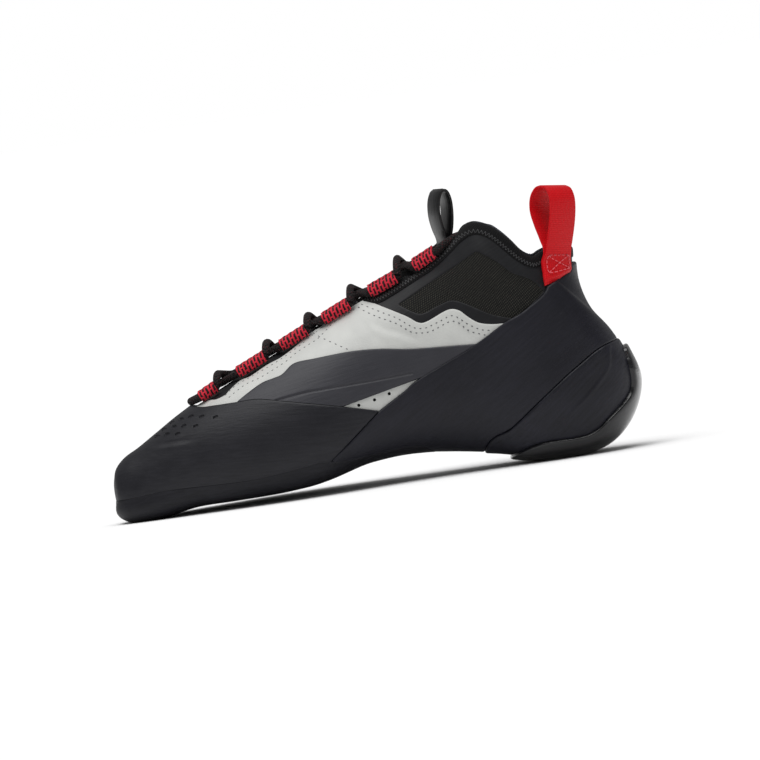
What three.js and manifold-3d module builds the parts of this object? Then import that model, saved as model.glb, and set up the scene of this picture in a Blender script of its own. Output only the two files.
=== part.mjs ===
// A low lace-up climbing shoe for the right foot, standing on its toe and its heel.
// Millimetres, +Z up. The toe points to -X and the big-toe side to -Y.
// The origin is the middle of the flat spot under the toe, on the floor.

import * as THREE from 'three';
import { mergeVertices } from 'three/addons/utils/BufferGeometryUtils.js';
import Module from 'manifold-3d';

const wasm = await Module();
wasm.setup();

// Driving dimensions
const STANCE = 200; // from the middle of the toe's rest spot to the back of the heel's
const BALL_WIDTH = 83; // across the upper at the ball of the foot
const HEEL_WIDTH = 59; // across the upper at the heel
const INSTEP_HEIGHT = 100; // unit of the heights along the instep, up from the last's bottom
const HEEL_HEIGHT = 92; // last's bottom to the collar's edge at the back
const WALL = 2; // thickness of the upper
const RAND = 1.5; // rubber of the toe and slingshot rands
const WING = 1; // grey side bands
const CUP = 2.1; // rubber of the heel cup
const SOLE = 4.2; // front sole under the toes
const SOLE_SIDE = 3; // front sole where it turns up the side
const SOLE_TAIL = 1.9; // thin end of the front sole under the arch
const HEEL_SOLE = 4.2; // heel piece, underneath and at the back
const HEEL_SIDE = 2.8; // heel piece where it turns up the sides
const INSOLE = 1.2;
const TONGUE = 1.8;
const GAP = 0.3; // clearance between pieces that touch
const REST_SHAVE = 0.5; // depth worn flat where the soles meet the floor
const LACE = 3.6; // thickness of the round lace
const WEBBING = 0.7; // cloth of the lace tunnels
const TUNNEL_PLAY = 0.2; // lace to tunnel, each side
const LACE_RISE = 1.2; // lace crossings over the tongue, at the ridge
const THROAT_TOE = 9; // width of the lacing gap at its toe end
const THROAT_TOP = 19; // width of the lacing gap at the collar
const OPENING_MARGIN = 5; // upper's turned-in edge underneath the insole
const HEEL_LOOP = { width: 15, height: 45, thickness: 1.2, turn: 40, lean: 8.6 };
const TONGUE_LOOP = { width: 12, height: 26.5, thickness: 1.4, turn: -66, lean: 2 };

// How finely the last's surface is divided
const SECTIONS = 33;
const HALF_STEPS = 10;
const FINE_STEPS = 44;
const THROAT_STEPS = 10;
const TUNNEL_STEPS = 2;
const LACE_STEPS = 6;
const PROBE = 0.5; // step that finds a direction on the surface
const WELD = 1e-4; // points nearer than this are one

// Sections of the last, from toe to waist. Each is a closed curve through a point of the
// keel, under the foot, and a point of the ridge, on top.
// Columns: keel along, keel up, ridge along, ridge up, big-toe side, little-toe side,
// ridge sideways, height of the widest place, roundness below, roundness above.
// Along is a share of STANCE, up of the height there, sideways of BALL_WIDTH.
const FRONT_ROWS = [
  [-0.0610, 0.058, -0.0600, 0.158, -0.095, 0.023, -0.036, 0.50, 2.0, 2.0],
  [-0.0550, 0.026, -0.0530, 0.202, -0.138, 0.077, -0.030, 0.45, 2.4, 2.0],
  [-0.0350, 0.003, -0.0325, 0.242, -0.178, 0.148, -0.018, 0.40, 2.9, 2.0],
  [0.000, 0.000, 0.000, 0.276, -0.217, 0.211, -0.012, 0.36, 3.2, 2.0],
  [0.045, 0.009, 0.045, 0.330, -0.259, 0.289, -0.012, 0.33, 3.2, 2.0],
  [0.110, 0.030, 0.100, 0.396, -0.307, 0.392, -0.005, 0.30, 3.2, 1.95],
  [0.200, 0.032, 0.190, 0.490, -0.373, 0.494, 0.010, 0.27, 3.2, 1.9],
  [0.310, 0.036, 0.300, 0.588, -0.422, 0.572, 0.024, 0.25, 3.1, 1.85],
  [0.420, 0.055, 0.420, 0.698, -0.404, 0.578, 0.036, 0.25, 2.9, 1.85],
  [0.520, 0.086, 0.530, 0.800, -0.337, 0.524, 0.036, 0.27, 2.6, 1.9],
  [0.610, 0.096, 0.640, 0.894, -0.289, 0.458, 0.030, 0.30, 2.4, 2.0],
  [0.700, 0.077, 0.720, 0.970, -0.283, 0.404, 0.018, 0.32, 2.3, 2.15],
];

// Sections round the heel, with the same columns and sideways as a share of HEEL_WIDTH.
const HEEL_ROWS = [
  [0.8000, 0.044, 0.7600, 1.015, -0.441, 0.517, 0, 0.33, 2.4, 2.3],
  [0.9000, 0.003, 0.7800, 1.045, -0.483, 0.500, 0, 0.33, 3.0, 2.5],
  [0.9900, 0.001, 0.7925, 1.070, -0.500, 0.500, 0, 0.33, 3.0, 2.6],
  [1.0550, 0.036, 0.8000, 1.090, -0.490, 0.490, 0, 0.33, 2.7, 2.7],
  [1.1025, 0.125, 0.8050, 1.105, -0.475, 0.475, 0, 0.35, 2.3, 2.7],
  [1.1290, 0.260, 0.8100, 1.115, -0.458, 0.458, 0, 0.37, 2.3, 2.7],
  [1.1150, 0.385, 0.8150, 1.125, -0.432, 0.432, 0, 0.40, 2.3, 2.7],
  [1.0890, 0.500, 0.8200, 1.135, -0.420, 0.420, 0, 0.43, 2.3, 2.6],
  [1.0525, 0.610, 0.8250, 1.145, -0.412, 0.412, 0, 0.46, 2.3, 2.5],
  [1.0350, 0.740, 0.8300, 1.160, -0.407, 0.407, 0, 0.48, 2.3, 2.4],
  [1.0375, 0.880, 0.8350, 1.180, -0.407, 0.407, 0, 0.50, 2.3, 2.3],
  [1.0450, 1.000, 0.8400, 1.205, -0.407, 0.407, 0, 0.50, 2.3, 2.3],
];

// Toe tip: along, up and sideways, as in FRONT_ROWS.
const TIP = [-0.0625, 0.110, -0.036];

// Side-view outlines. Columns: along, up.
const FRONT_SOLE_OUTLINE = [
  [-0.150, 0.068],
  [-0.040, 0.074],
  [0.047, 0.088],
  [0.140, 0.085],
  [0.234, 0.081],
  [0.301, 0.089],
  [0.403, 0.112],
  [0.430, 0.106],
  [0.468, 0.101],
  [0.520, 0.107],
  [0.595, 0.116],
  [0.641, 0.103],
  [0.690, 0.020],
  [0.690, -0.200],
  [-0.150, -0.200],
];
const TOE_RAND_OUTLINE = [
  [-0.150, -0.100],
  [-0.150, 0.700],
  [0.100, 0.700],
  [0.125, 0.450],
  [0.150, 0.438],
  [0.180, 0.436],
  [0.236, 0.443],
  [0.284, 0.442],
  [0.348, 0.413],
  [0.470, 0.351],
  [0.553, 0.303],
  [0.430, 0.109],
  [0.403, -0.100],
];
const SLING_OUTLINE = [
  [0.430, 0.109],
  [0.553, 0.303],
  [0.615, 0.373],
  [0.651, 0.418],
  [0.778, 0.526],
  [0.858, 0.611],
  [0.900, 0.645],
  [0.963, 0.726],
  [0.969, 0.747],
  [1.026, 0.799],
  [1.042, 0.830],
  [1.200, 0.870],
  [1.200, 0.460],
  [1.096, 0.452],
  [1.007, 0.365],
  [0.917, 0.242],
  [0.843, 0.135],
  [0.779, 0.059],
  [0.760, -0.200],
  [0.430, -0.200],
];
const CUP_OUTLINE = [
  [0.779, 0.059],
  [0.843, 0.135],
  [0.917, 0.242],
  [1.007, 0.365],
  [1.096, 0.452],
  [1.200, 0.460],
  [1.200, -0.200],
  [0.760, -0.200],
];
const HEEL_SOLE_OUTLINE = [
  [0.828, 0.006],
  [0.870, 0.030],
  [0.914, 0.047],
  [1.004, 0.048],
  [1.057, 0.102],
  [1.113, 0.191],
  [1.128, 0.250],
  [1.128, 0.330],
  [1.122, 0.437],
  [1.200, 0.440],
  [1.200, -0.200],
  [0.820, -0.200],
];
const WING_OUTLINE = [
  [0.225, 0.400],
  [0.236, 0.443],
  [0.299, 0.511],
  [0.346, 0.535],
  [0.376, 0.575],
  [0.423, 0.583],
  [0.506, 0.590],
  [0.574, 0.581],
  [0.646, 0.558],
  [0.759, 0.541],
  [0.800, 0.535],
  [0.720, 0.440],
  [0.651, 0.418],
  [0.473, 0.348],
  [0.348, 0.380],
];
const COLLAR_CUT = [
  [0.600, 1.100],
  [0.640, 0.905],
  [0.680, 0.890],
  [0.721, 0.946],
  [0.761, 1.012],
  [0.789, 1.059],
  [0.819, 1.082],
  [0.845, 1.069],
  [0.875, 1.028],
  [0.903, 0.970],
  [0.924, 0.918],
  [0.945, 0.890],
  [0.967, 0.905],
  [1.005, 0.920],
  [1.040, 0.905],
  [1.200, 0.895],
  [1.200, 1.600],
  [0.600, 1.600],
];
const TONGUE_TOP_CUT = [
  [0.740, 1.200],
  [0.770, 1.060],
  [0.830, 0.920],
  [1.300, 0.700],
  [1.300, 1.600],
  [0.740, 1.600],
];

// Side-view limit of the shoe's floor, inside and out.
const FLOOR_OUTLINE = [
  [-0.100, 0.100],
  [0.100, 0.130],
  [0.400, 0.150],
  [0.600, 0.190],
  [0.800, 0.140],
  [0.950, 0.110],
  [1.100, 0.140],
  [1.100, -0.300],
  [-0.100, -0.300],
];

// Plan of the opening underneath the upper. Columns: along, big-toe side, little-toe side,
// the last two as shares of BALL_WIDTH.
const OPENING_ROWS = [
  [0.040, -0.090, 0.110],
  [0.150, -0.190, 0.290],
  [0.300, -0.265, 0.410],
  [0.450, -0.235, 0.420],
  [0.600, -0.130, 0.290],
  [0.750, -0.130, 0.215],
  [0.900, -0.165, 0.180],
  [1.015, -0.120, 0.125],
];

// Plan of the front sole's tail, with the columns of OPENING_ROWS.
const TAIL_ROWS = [
  [-0.300, -0.900, 0.900],
  [0.400, -0.900, 0.900],
  [0.470, -0.420, 0.620],
  [0.560, -0.300, 0.430],
  [0.630, -0.250, 0.330],
  [0.675, -0.150, 0.200],
];

// Where each lace tunnel starts and ends along the ridge, as shares of STANCE.
const TUNNEL_ROWS = [
  [0.160, 0.198],
  [0.252, 0.318],
  [0.358, 0.420],
  [0.462, 0.525],
  [0.575, 0.640],
  [0.685, 0.735],
];

// Side profile of the heel loop. Columns: up as a share of its height, and how far the front
// and back faces lie from the stitched plane, as shares of its height.
const HEEL_LOOP_ROWS = [
  [0.00, 0.028, -0.028],
  [0.33, 0.028, -0.028],
  [0.45, 0.050, -0.080],
  [0.60, 0.080, -0.170],
  [0.74, 0.095, -0.235],
  [0.87, 0.085, -0.235],
  [0.96, 0.035, -0.175],
  [1.00, -0.030, -0.110],
];

// Side profile of the tongue loop, with the same columns.
const TONGUE_LOOP_ROWS = [
  [0.00, 0.055, -0.055],
  [0.14, 0.058, -0.058],
  [0.34, 0.120, -0.110],
  [0.55, 0.155, -0.140],
  [0.78, 0.140, -0.140],
  [0.93, 0.080, -0.095],
  [1.00, 0.015, -0.030],
];

// Where the loops are sewn on: along and up as in the outlines, sideways as a share of
// HEEL_WIDTH.
const HEEL_LOOP_SEAT = [0.998, 0.740, -0.387];
const TONGUE_LOOP_SEAT = [0.754, 0.985, 0.020];

// Lace tunnels and crossings are drawn with this many sides.
const TUNNEL_SIDES = 8;
const LACE_SIDES = 6;

const FAR = 400; // longer than any cut has to reach
const WAIST = 0.6; // where the instep's heights start to give way to the heel's
const HEEL_SHARE = 0.92; // the collar's edge at the back, in the outlines' own unit

function mix(from, to, share) {
  return from + (to - from) * share;
}

function ease(share) {
  const inside = Math.min(Math.max(share, 0), 1);
  return inside * inside * (3 - 2 * inside);
}

// A side-view place in millimetres. The last's bottom lies a sole's thickness above the floor.
function place(along, up) {
  const towardsHeel = ease((along - WAIST) / (1 - WAIST));
  const height = mix(INSTEP_HEIGHT, HEEL_HEIGHT / HEEL_SHARE, towardsHeel);
  const lift = mix(SOLE, HEEL_SOLE, towardsHeel) + GAP - REST_SHAVE;
  return new THREE.Vector2(along * STANCE, lift + up * height);
}

// The table's shares as millimetres, and the roundnesses as they are.
function sized(row, width) {
  const [keelAlong, keelUp, ridgeAlong, ridgeUp, bigToe, littleToe, ridgeSide, ...shape] = row;
  const keel = place(keelAlong, keelUp);
  const ridge = place(ridgeAlong, ridgeUp);
  return [keel.x, keel.y, ridge.x, ridge.y, bigToe * width, littleToe * width, ridgeSide * width, ...shape];
}

const ROWS = [
  ...FRONT_ROWS.map((row) => sized(row, BALL_WIDTH)),
  ...HEEL_ROWS.map((row) => sized(row, HEEL_WIDTH)),
];

// Distance along the table, so that the curve through its rows runs evenly.
const KNOTS = ROWS.reduce((knots, row, index) => {
  if (index === 0) {
    return [0];
  }
  const before = ROWS[index - 1];
  const keelStep = Math.hypot(row[0] - before[0], row[1] - before[1]);
  const ridgeStep = Math.hypot(row[2] - before[2], row[3] - before[3]);
  return [...knots, knots[index - 1] + (keelStep + ridgeStep) / 2];
}, []);

// A row at any place between the table's rows, on a smooth curve through them.
function rowAt(position) {
  const last = ROWS.length - 1;
  const low = Math.min(Math.floor(position), last - 1);
  const share = position - low;
  const span = KNOTS[low + 1] - KNOTS[low];
  const slope = (index, column) => {
    const before = Math.max(index - 1, 0);
    const after = Math.min(index + 1, last);
    return (ROWS[after][column] - ROWS[before][column]) / (KNOTS[after] - KNOTS[before]);
  };
  return ROWS[low].map((value, column) => {
    const next = ROWS[low + 1][column];
    const leave = slope(low, column) * span;
    const arrive = slope(low + 1, column) * span;
    const rise = next - value;
    return value + share * (leave + share * ((3 * rise - 2 * leave - arrive) + share * (leave + arrive - 2 * rise)));
  });
}

// One half of a section, from the keel up to the ridge: big-toe side or little-toe side.
function halfSection(row, isBigToe) {
  const [keelX, keelZ, ridgeX, ridgeZ, bigToe, littleToe, ridgeY, widest, low, high] = row;
  const keelY = (bigToe + littleToe) / 2;
  const reach = (isBigToe ? bigToe : littleToe) - mix(keelY, ridgeY, widest);
  const points = [];
  for (let step = 0; step <= FINE_STEPS; step += 1) {
    const angle = (step / FINE_STEPS) * Math.PI;
    const isLow = angle < Math.PI / 2;
    const power = 2 / (isLow ? low : high);
    const rise = Math.abs(Math.cos(angle)) ** power;
    const up = isLow ? widest * (1 - rise) : widest + (1 - widest) * rise;
    const out = Math.sin(angle) ** power;
    const side = mix(keelY, ridgeY, up) + reach * out;
    points.push(new THREE.Vector3(mix(keelX, ridgeX, up), side, mix(keelZ, ridgeZ, up)));
  }
  return points;
}

// The point that lies a given length along a run of points.
function pointAlong(points, length) {
  let left = length;
  for (let index = 1; index < points.length; index += 1) {
    const step = points[index].distanceTo(points[index - 1]);
    if (left <= step) {
      return points[index - 1].clone().lerp(points[index], left / step);
    }
    left -= step;
  }
  return points.at(-1).clone();
}

function lengthOf(points) {
  return points.slice(1).reduce((sum, point, index) => sum + point.distanceTo(points[index]), 0);
}

function evenSteps(points, steps) {
  const length = lengthOf(points);
  return Array.from({ length: steps + 1 }, (_, step) => pointAlong(points, (length * step) / steps));
}

// A closed section: up the big-toe side and down the little-toe side, in even steps.
function section(position) {
  const row = rowAt(position);
  const up = evenSteps(halfSection(row, true), HALF_STEPS);
  const down = evenSteps(halfSection(row, false), HALF_STEPS).reverse();
  return [...up.slice(0, -1), ...down.slice(0, -1)];
}

function lastSurface() {
  const rings = [];
  for (let index = 0; index < SECTIONS; index += 1) {
    rings.push(section((index / (SECTIONS - 1)) * (ROWS.length - 1)));
  }
  const around = rings[0].length;
  const tip = place(TIP[0], TIP[1]);
  const points = [...rings.flat(), new THREE.Vector3(tip.x, TIP[2] * BALL_WIDTH, tip.y)];
  const faces = [];
  for (let ring = 0; ring < SECTIONS - 1; ring += 1) {
    for (let step = 0; step < around; step += 1) {
      const here = ring * around + step;
      const beside = ring * around + ((step + 1) % around);
      faces.push([here, here + around, beside], [beside, here + around, beside + around]);
    }
  }
  for (let step = 0; step < around; step += 1) {
    faces.push([points.length - 1, step, (step + 1) % around]);
  }
  return { points, faces, around };
}

const LAST = lastSurface();

function surfaceNormals({ points, faces }) {
  const normals = points.map(() => new THREE.Vector3());
  const one = new THREE.Vector3();
  const two = new THREE.Vector3();
  faces.forEach(([a, b, c]) => {
    one.subVectors(points[b], points[a]);
    two.subVectors(points[c], points[a]);
    one.cross(two);
    [a, b, c].forEach((corner) => normals[corner].add(one));
  });
  return normals.map((normal) => normal.normalize());
}

const NORMALS = surfaceNormals(LAST);

function toSolid(geometry) {
  geometry.deleteAttribute('normal');
  geometry.deleteAttribute('uv');
  const merged = mergeVertices(geometry, WELD);
  const mesh = new wasm.Mesh({
    numProp: 3,
    vertProperties: Float32Array.from(merged.attributes.position.array),
    triVerts: Uint32Array.from(merged.index.array),
  });
  return new wasm.Manifold(mesh);
}

function toGeometry(solid) {
  const mesh = solid.getMesh();
  const geometry = new THREE.BufferGeometry();
  geometry.setAttribute('position', new THREE.BufferAttribute(mesh.vertProperties, 3));
  geometry.setIndex(new THREE.BufferAttribute(mesh.triVerts, 1));
  return geometry;
}

// The last's form, moved out along its own surface by a depth that may vary over it, and
// closed above the collar.
function form(depth) {
  const moved = LAST.points.map((point, index) => {
    const by = typeof depth === 'function' ? depth(point, NORMALS[index]) : depth;
    return point.clone().addScaledVector(NORMALS[index], by);
  });
  const start = (SECTIONS - 1) * LAST.around;
  const rim = moved.slice(start, start + LAST.around);
  const middle = rim.reduce((sum, point) => sum.add(point), new THREE.Vector3()).divideScalar(rim.length);
  moved.push(middle);
  const lid = rim.map((_, step) => [start + ((step + 1) % LAST.around), start + step, moved.length - 1]);
  const geometry = new THREE.BufferGeometry();
  geometry.setAttribute('position', new THREE.Float32BufferAttribute(moved.flatMap((p) => p.toArray()), 3));
  geometry.setIndex([...LAST.faces, ...lid].flat());
  return toSolid(geometry);
}

function layer(inner, outer) {
  return form(outer).subtract(form(inner));
}

// An outline moved outwards all round.
function grown(points, by) {
  const turn = Math.sign(THREE.ShapeUtils.area(points));
  return points.map((point, index) => {
    const into = point.clone().sub(points.at(index - 1)).normalize();
    const out = points[(index + 1) % points.length].clone().sub(point).normalize();
    const away = new THREE.Vector2(into.y + out.y, -into.x - out.x);
    return point.clone().addScaledVector(away, (turn * by) / (1 + into.dot(out)));
  });
}

// A side-view outline cut straight through, between two places across the shoe.
function sideCut(outline, by = 0, from = -FAR, to = FAR) {
  const points = grown(outline.map(([along, up]) => place(along, up)), by);
  const geometry = new THREE.ExtrudeGeometry(new THREE.Shape(points), { depth: to - from, bevelEnabled: false });
  geometry.rotateX(Math.PI / 2);
  geometry.translate(0, to, 0);
  return toSolid(geometry);
}

// A plan outline cut straight up, between two heights.
function planCut(rows, by, from, to) {
  const bigToe = rows.map(([along, side]) => new THREE.Vector2(along * STANCE, side * BALL_WIDTH));
  const littleToe = rows.map(([along, , side]) => new THREE.Vector2(along * STANCE, side * BALL_WIDTH));
  const points = grown([...bigToe, ...littleToe.reverse()], by);
  const geometry = new THREE.ExtrudeGeometry(new THREE.Shape(points), { depth: to - from, bevelEnabled: false });
  geometry.translate(0, 0, from);
  return toSolid(geometry);
}

function box(from, to) {
  const size = to.clone().sub(from);
  const geometry = new THREE.BoxGeometry(size.x, size.y, size.z);
  geometry.translate(...from.clone().addScaledVector(size, 0.5).toArray());
  return toSolid(geometry);
}

const BELOW_FLOOR = box(new THREE.Vector3(-FAR, -FAR, -FAR), new THREE.Vector3(FAR, FAR, 0));

const group = new THREE.Group();

function addPiece(name, geometry, color, roughness, metalness = 0) {
  geometry.computeVertexNormals();
  const material = new THREE.MeshStandardMaterial({ color, roughness, metalness });
  const mesh = new THREE.Mesh(geometry, material);
  mesh.name = name;
  group.add(mesh);
}

// Lacing gap: half its width at a place along the ridge
const THROAT_START = 0.135;
const THROAT_END = 0.8;

function throatHalfWidth(along) {
  const share = (along - THROAT_START) / (THROAT_END - THROAT_START);
  return mix(THROAT_TOE, THROAT_TOP, share) / 2;
}

// The table's position whose ridge lies at a place along the shoe.
function ridgePosition(along) {
  let low = 0;
  let high = ROWS.length - 1;
  for (let step = 0; step < FINE_STEPS; step += 1) {
    const middle = (low + high) / 2;
    if (rowAt(middle)[2] < along * STANCE) {
      low = middle;
    } else {
      high = middle;
    }
  }
  return low;
}

// A point on the last's surface: so far along the ridge, so far down one side of it, and
// raised off the surface.
function besideRidge(along, distance, isBigToe, rise = 0) {
  const at = (shift, down) => {
    const half = halfSection(rowAt(ridgePosition(along + shift)), isBigToe).reverse();
    return pointAlong(half, down);
  };
  const point = at(0, distance);
  const ahead = at(PROBE / STANCE, distance).sub(point);
  const aside = at(0, distance + PROBE).sub(point);
  const normal = ahead.cross(aside).normalize();
  normal.multiplyScalar(Math.sign(normal.z));
  return point.addScaledVector(normal, rise);
}

// Lacing gap as a plan outline that follows the ridge
function throatCut(widen, startShift, endShift, from) {
  const bigToe = [];
  const littleToe = [];
  for (let step = 0; step <= THROAT_STEPS; step += 1) {
    const along = mix(THROAT_START + startShift, THROAT_END + endShift, step / THROAT_STEPS);
    const ridge = rowAt(ridgePosition(Math.min(along, THROAT_END)))[6];
    const half = throatHalfWidth(along) + widen;
    bigToe.push(new THREE.Vector2(along * STANCE, ridge - half));
    littleToe.push(new THREE.Vector2(along * STANCE, ridge + half));
  }
  const shape = new THREE.Shape([...bigToe, ...littleToe.reverse()]);
  const geometry = new THREE.ExtrudeGeometry(shape, { depth: FAR, bevelEnabled: false });
  geometry.translate(0, 0, from);
  return toSolid(geometry);
}

// The lacing gap starts above the widest place of every section, so it never meets the floor
// of the shoe.
const THROAT_FLOOR = place(0, 0.26).y;

// Upper: one hollow body, open at the collar, along the lacing and underneath.
function upper() {
  const opening = planCut(OPENING_ROWS, 0, -FAR, FAR).intersect(sideCut(FLOOR_OUTLINE));
  return layer(-WALL, 0)
    .subtract(sideCut(COLLAR_CUT))
    .subtract(throatCut(0, 0, 0, THROAT_FLOOR))
    .subtract(opening);
}

// Insole: lies on the turned-in edge of the upper and covers its opening.
function insole() {
  const top = -WALL - GAP;
  return layer(top - INSOLE, top)
    .intersect(planCut(OPENING_ROWS, OPENING_MARGIN, -FAR, FAR))
    .intersect(sideCut(FLOOR_OUTLINE));
}

// Tongue: under the lacing gap, wider than it on both sides and longer at both ends.
const TONGUE_LAP = 7;
const TONGUE_TOE_LAP = 0.045; // share of STANCE
const TONGUE_TOP_LAP = 0.08; // share of STANCE

function tongue() {
  const top = -WALL - GAP;
  return layer(top - TONGUE, top)
    .intersect(throatCut(TONGUE_LAP, -TONGUE_TOE_LAP, TONGUE_TOP_LAP, THROAT_FLOOR))
    .subtract(sideCut(TONGUE_TOP_CUT));
}

// Rubber thickness of the front sole: full underneath, thinner up the sides and in the tail.
const TAIL_START = 0.36;
const TAIL_FULL = 0.52;

function frontSoleDepth(point, normal) {
  const underneath = mix(SOLE_SIDE, SOLE, ease(-normal.z));
  const towardsTail = ease((point.x / STANCE - TAIL_START) / (TAIL_FULL - TAIL_START));
  return GAP + mix(underneath, SOLE_TAIL, towardsTail);
}

function frontSoleRegion(by) {
  return sideCut(FRONT_SOLE_OUTLINE, by).intersect(planCut(TAIL_ROWS, by, -FAR, FAR));
}

function heelSoleDepth(point, normal) {
  const turned = ease(Math.hypot(normal.x, normal.z));
  return GAP + mix(HEEL_SIDE, HEEL_SOLE, turned);
}

const side = { bigToe: [-FAR, 0], littleToe: [0, FAR] };

function wing(name) {
  const [from, to] = side[name];
  return layer(GAP, GAP + WING)
    .intersect(sideCut(WING_OUTLINE, 0, from, to))
    .subtract(sideCut(TOE_RAND_OUTLINE, GAP))
    .subtract(sideCut(SLING_OUTLINE, GAP));
}

// A strap sewn on at its two ends: a band that opens from the stitching upwards. It has a hole
// where its faces lie so many thicknesses apart.
const HOLE_ROOM = 3;

function loopStrap({ width, height, thickness, turn, lean }, rows, seat) {
  const across = (row, by) => {
    const [up, front, back] = row;
    return [new THREE.Vector2(front * height - by, up * height), new THREE.Vector2(back * height + by, up * height)];
  };
  const outline = (list, by) => {
    const pairs = list.map((row) => across(row, by));
    return [...pairs.map(([front]) => front), ...pairs.map(([, back]) => back).reverse()];
  };
  const open = rows.filter(([, front, back]) => (front - back) * height > HOLE_ROOM * thickness);
  const hole = outline(open.slice(0, -1), thickness);
  const shape = new THREE.Shape(outline(rows, 0));
  shape.holes.push(new THREE.Path(hole));
  const geometry = new THREE.ExtrudeGeometry(shape, { depth: width, bevelEnabled: false });
  geometry.translate(0, 0, -width / 2);
  const [along, up, sideways] = seat;
  const angle = THREE.MathUtils.degToRad(turn);
  const out = new THREE.Vector3(Math.sin(angle), -Math.cos(angle), 0);
  const rise = new THREE.Vector3(0, 0, 1);
  const pose = new THREE.Matrix4().makeBasis(out, rise, new THREE.Vector3().crossVectors(out, rise));
  geometry.applyMatrix4(pose);
  geometry.rotateY(THREE.MathUtils.degToRad(lean));
  const foot = place(along, up);
  geometry.translate(foot.x, sideways * HEEL_WIDTH, foot.y);
  return toSolid(geometry);
}

function circle(radius, sides) {
  return Array.from({ length: sides }, (_, step) => {
    const angle = (2 * Math.PI * (step + 0.5)) / sides;
    return new THREE.Vector2(radius * Math.cos(angle), radius * Math.sin(angle));
  });
}

function tube(points, radius, sides, steps, holeRadius = 0) {
  const shape = new THREE.Shape(circle(radius, sides));
  if (holeRadius > 0) {
    shape.holes.push(new THREE.Path(circle(holeRadius, sides)));
  }
  const extrudePath = new THREE.CatmullRomCurve3(points);
  return new THREE.ExtrudeGeometry(shape, { steps, extrudePath, bevelEnabled: false });
}

// Lace tunnels: short sleeves of webbing on both edges of the lacing gap.
const LACE_BORE = LACE / 2 + TUNNEL_PLAY;
const TUNNEL_RADIUS = LACE_BORE + WEBBING;
const TUNNEL_SEAT = GAP;

function tunnelPoint(along, isBigToe) {
  return besideRidge(along, throatHalfWidth(along) + TUNNEL_RADIUS, isBigToe, TUNNEL_RADIUS + TUNNEL_SEAT);
}

function tunnel([start, end], isBigToe) {
  const points = [start, (start + end) / 2, end].map((along) => tunnelPoint(along, isBigToe));
  return tube(points, TUNNEL_RADIUS, TUNNEL_SIDES, TUNNEL_STEPS, LACE_BORE);
}

// A lace strand over the tongue, from a sleeve on one side to a sleeve on the other.
const TUNNEL_MOUTH = 1.7;

function strand(from, to, isBigToeFirst) {
  const mouth = TUNNEL_MOUTH / STANCE;
  const points = [
    tunnelPoint(from + mouth, isBigToeFirst),
    besideRidge((from + to) / 2, 0, true, LACE_RISE + LACE / 2),
    tunnelPoint(to - mouth, !isBigToeFirst),
  ];
  return toSolid(tube(points, LACE / 2, LACE_SIDES, LACE_STEPS));
}

function crossing(index) {
  const from = TUNNEL_ROWS[index][1];
  const to = TUNNEL_ROWS[index + 1][0];
  return strand(from, to, true).add(strand(from, to, false));
}

// The lace's middle, round the toe end of the lacing gap from one first sleeve to the other.
const LACE_BEND = 0.022; // how far ahead of the sleeves it reaches, as a share of STANCE

function toeBar() {
  const start = TUNNEL_ROWS[0][0];
  const mouth = TUNNEL_MOUTH / STANCE;
  const points = [
    tunnelPoint(start - mouth, true),
    besideRidge(start - LACE_BEND, 0, true, TUNNEL_RADIUS + TUNNEL_SEAT),
    tunnelPoint(start - mouth, false),
  ];
  return tube(points, LACE / 2, LACE_SIDES, LACE_STEPS);
}

addPiece('upper', toGeometry(upper()), 0xd8d9dc, 0.6);
addPiece('insole', toGeometry(insole()), 0x5c5c60, 0.9);
addPiece('tongue', toGeometry(tongue()), 0x17171a, 0.9);
addPiece(
  'sole_front',
  toGeometry(layer(GAP, frontSoleDepth).intersect(frontSoleRegion(0)).subtract(BELOW_FLOOR)),
  0x202124,
  0.6,
);
addPiece(
  'sole_heel',
  toGeometry(layer(GAP, heelSoleDepth).intersect(sideCut(HEEL_SOLE_OUTLINE)).subtract(BELOW_FLOOR)),
  0x141518,
  0.25,
);
addPiece(
  'rand_toe',
  toGeometry(
    layer(GAP, GAP + RAND)
      .intersect(sideCut(TOE_RAND_OUTLINE))
      .subtract(frontSoleRegion(GAP))
      .subtract(sideCut(SLING_OUTLINE, GAP)),
  ),
  0x242528,
  0.6,
);
addPiece(
  'rand_heel',
  toGeometry(
    layer(GAP, GAP + RAND)
      .intersect(sideCut(SLING_OUTLINE))
      .subtract(frontSoleRegion(GAP))
      .subtract(sideCut(HEEL_SOLE_OUTLINE, GAP))
      .subtract(sideCut(CUP_OUTLINE, GAP)),
  ),
  0x222326,
  0.6,
);
addPiece(
  'heel_cup',
  toGeometry(
    layer(GAP, GAP + CUP)
      .intersect(sideCut(CUP_OUTLINE))
      .subtract(sideCut(HEEL_SOLE_OUTLINE, GAP)),
  ),
  0x1e1f22,
  0.5,
);
addPiece('wing_medial', toGeometry(wing('bigToe')), 0x2c2d31, 0.6);
addPiece('wing_lateral', toGeometry(wing('littleToe')), 0x2c2d31, 0.6);
addPiece(
  'heel_loop',
  toGeometry(
    loopStrap(HEEL_LOOP, HEEL_LOOP_ROWS, HEEL_LOOP_SEAT)
      .subtract(form(GAP))
      .subtract(sideCut(SLING_OUTLINE, GAP)),
  ),
  0xc8101e,
  0.7,
);
addPiece(
  'tongue_loop',
  toGeometry(loopStrap(TONGUE_LOOP, TONGUE_LOOP_ROWS, TONGUE_LOOP_SEAT).subtract(form(-WALL))),
  0x1c1c1f,
  0.4,
);
TUNNEL_ROWS.forEach((row, index) => {
  addPiece(`tunnel_medial_${index + 1}`, tunnel(row, true), 0xb01820, 0.8);
  addPiece(`tunnel_lateral_${index + 1}`, tunnel(row, false), 0xb01820, 0.8);
});
addPiece('lace_toe', toeBar(), 0x1f1517, 0.8);
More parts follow.
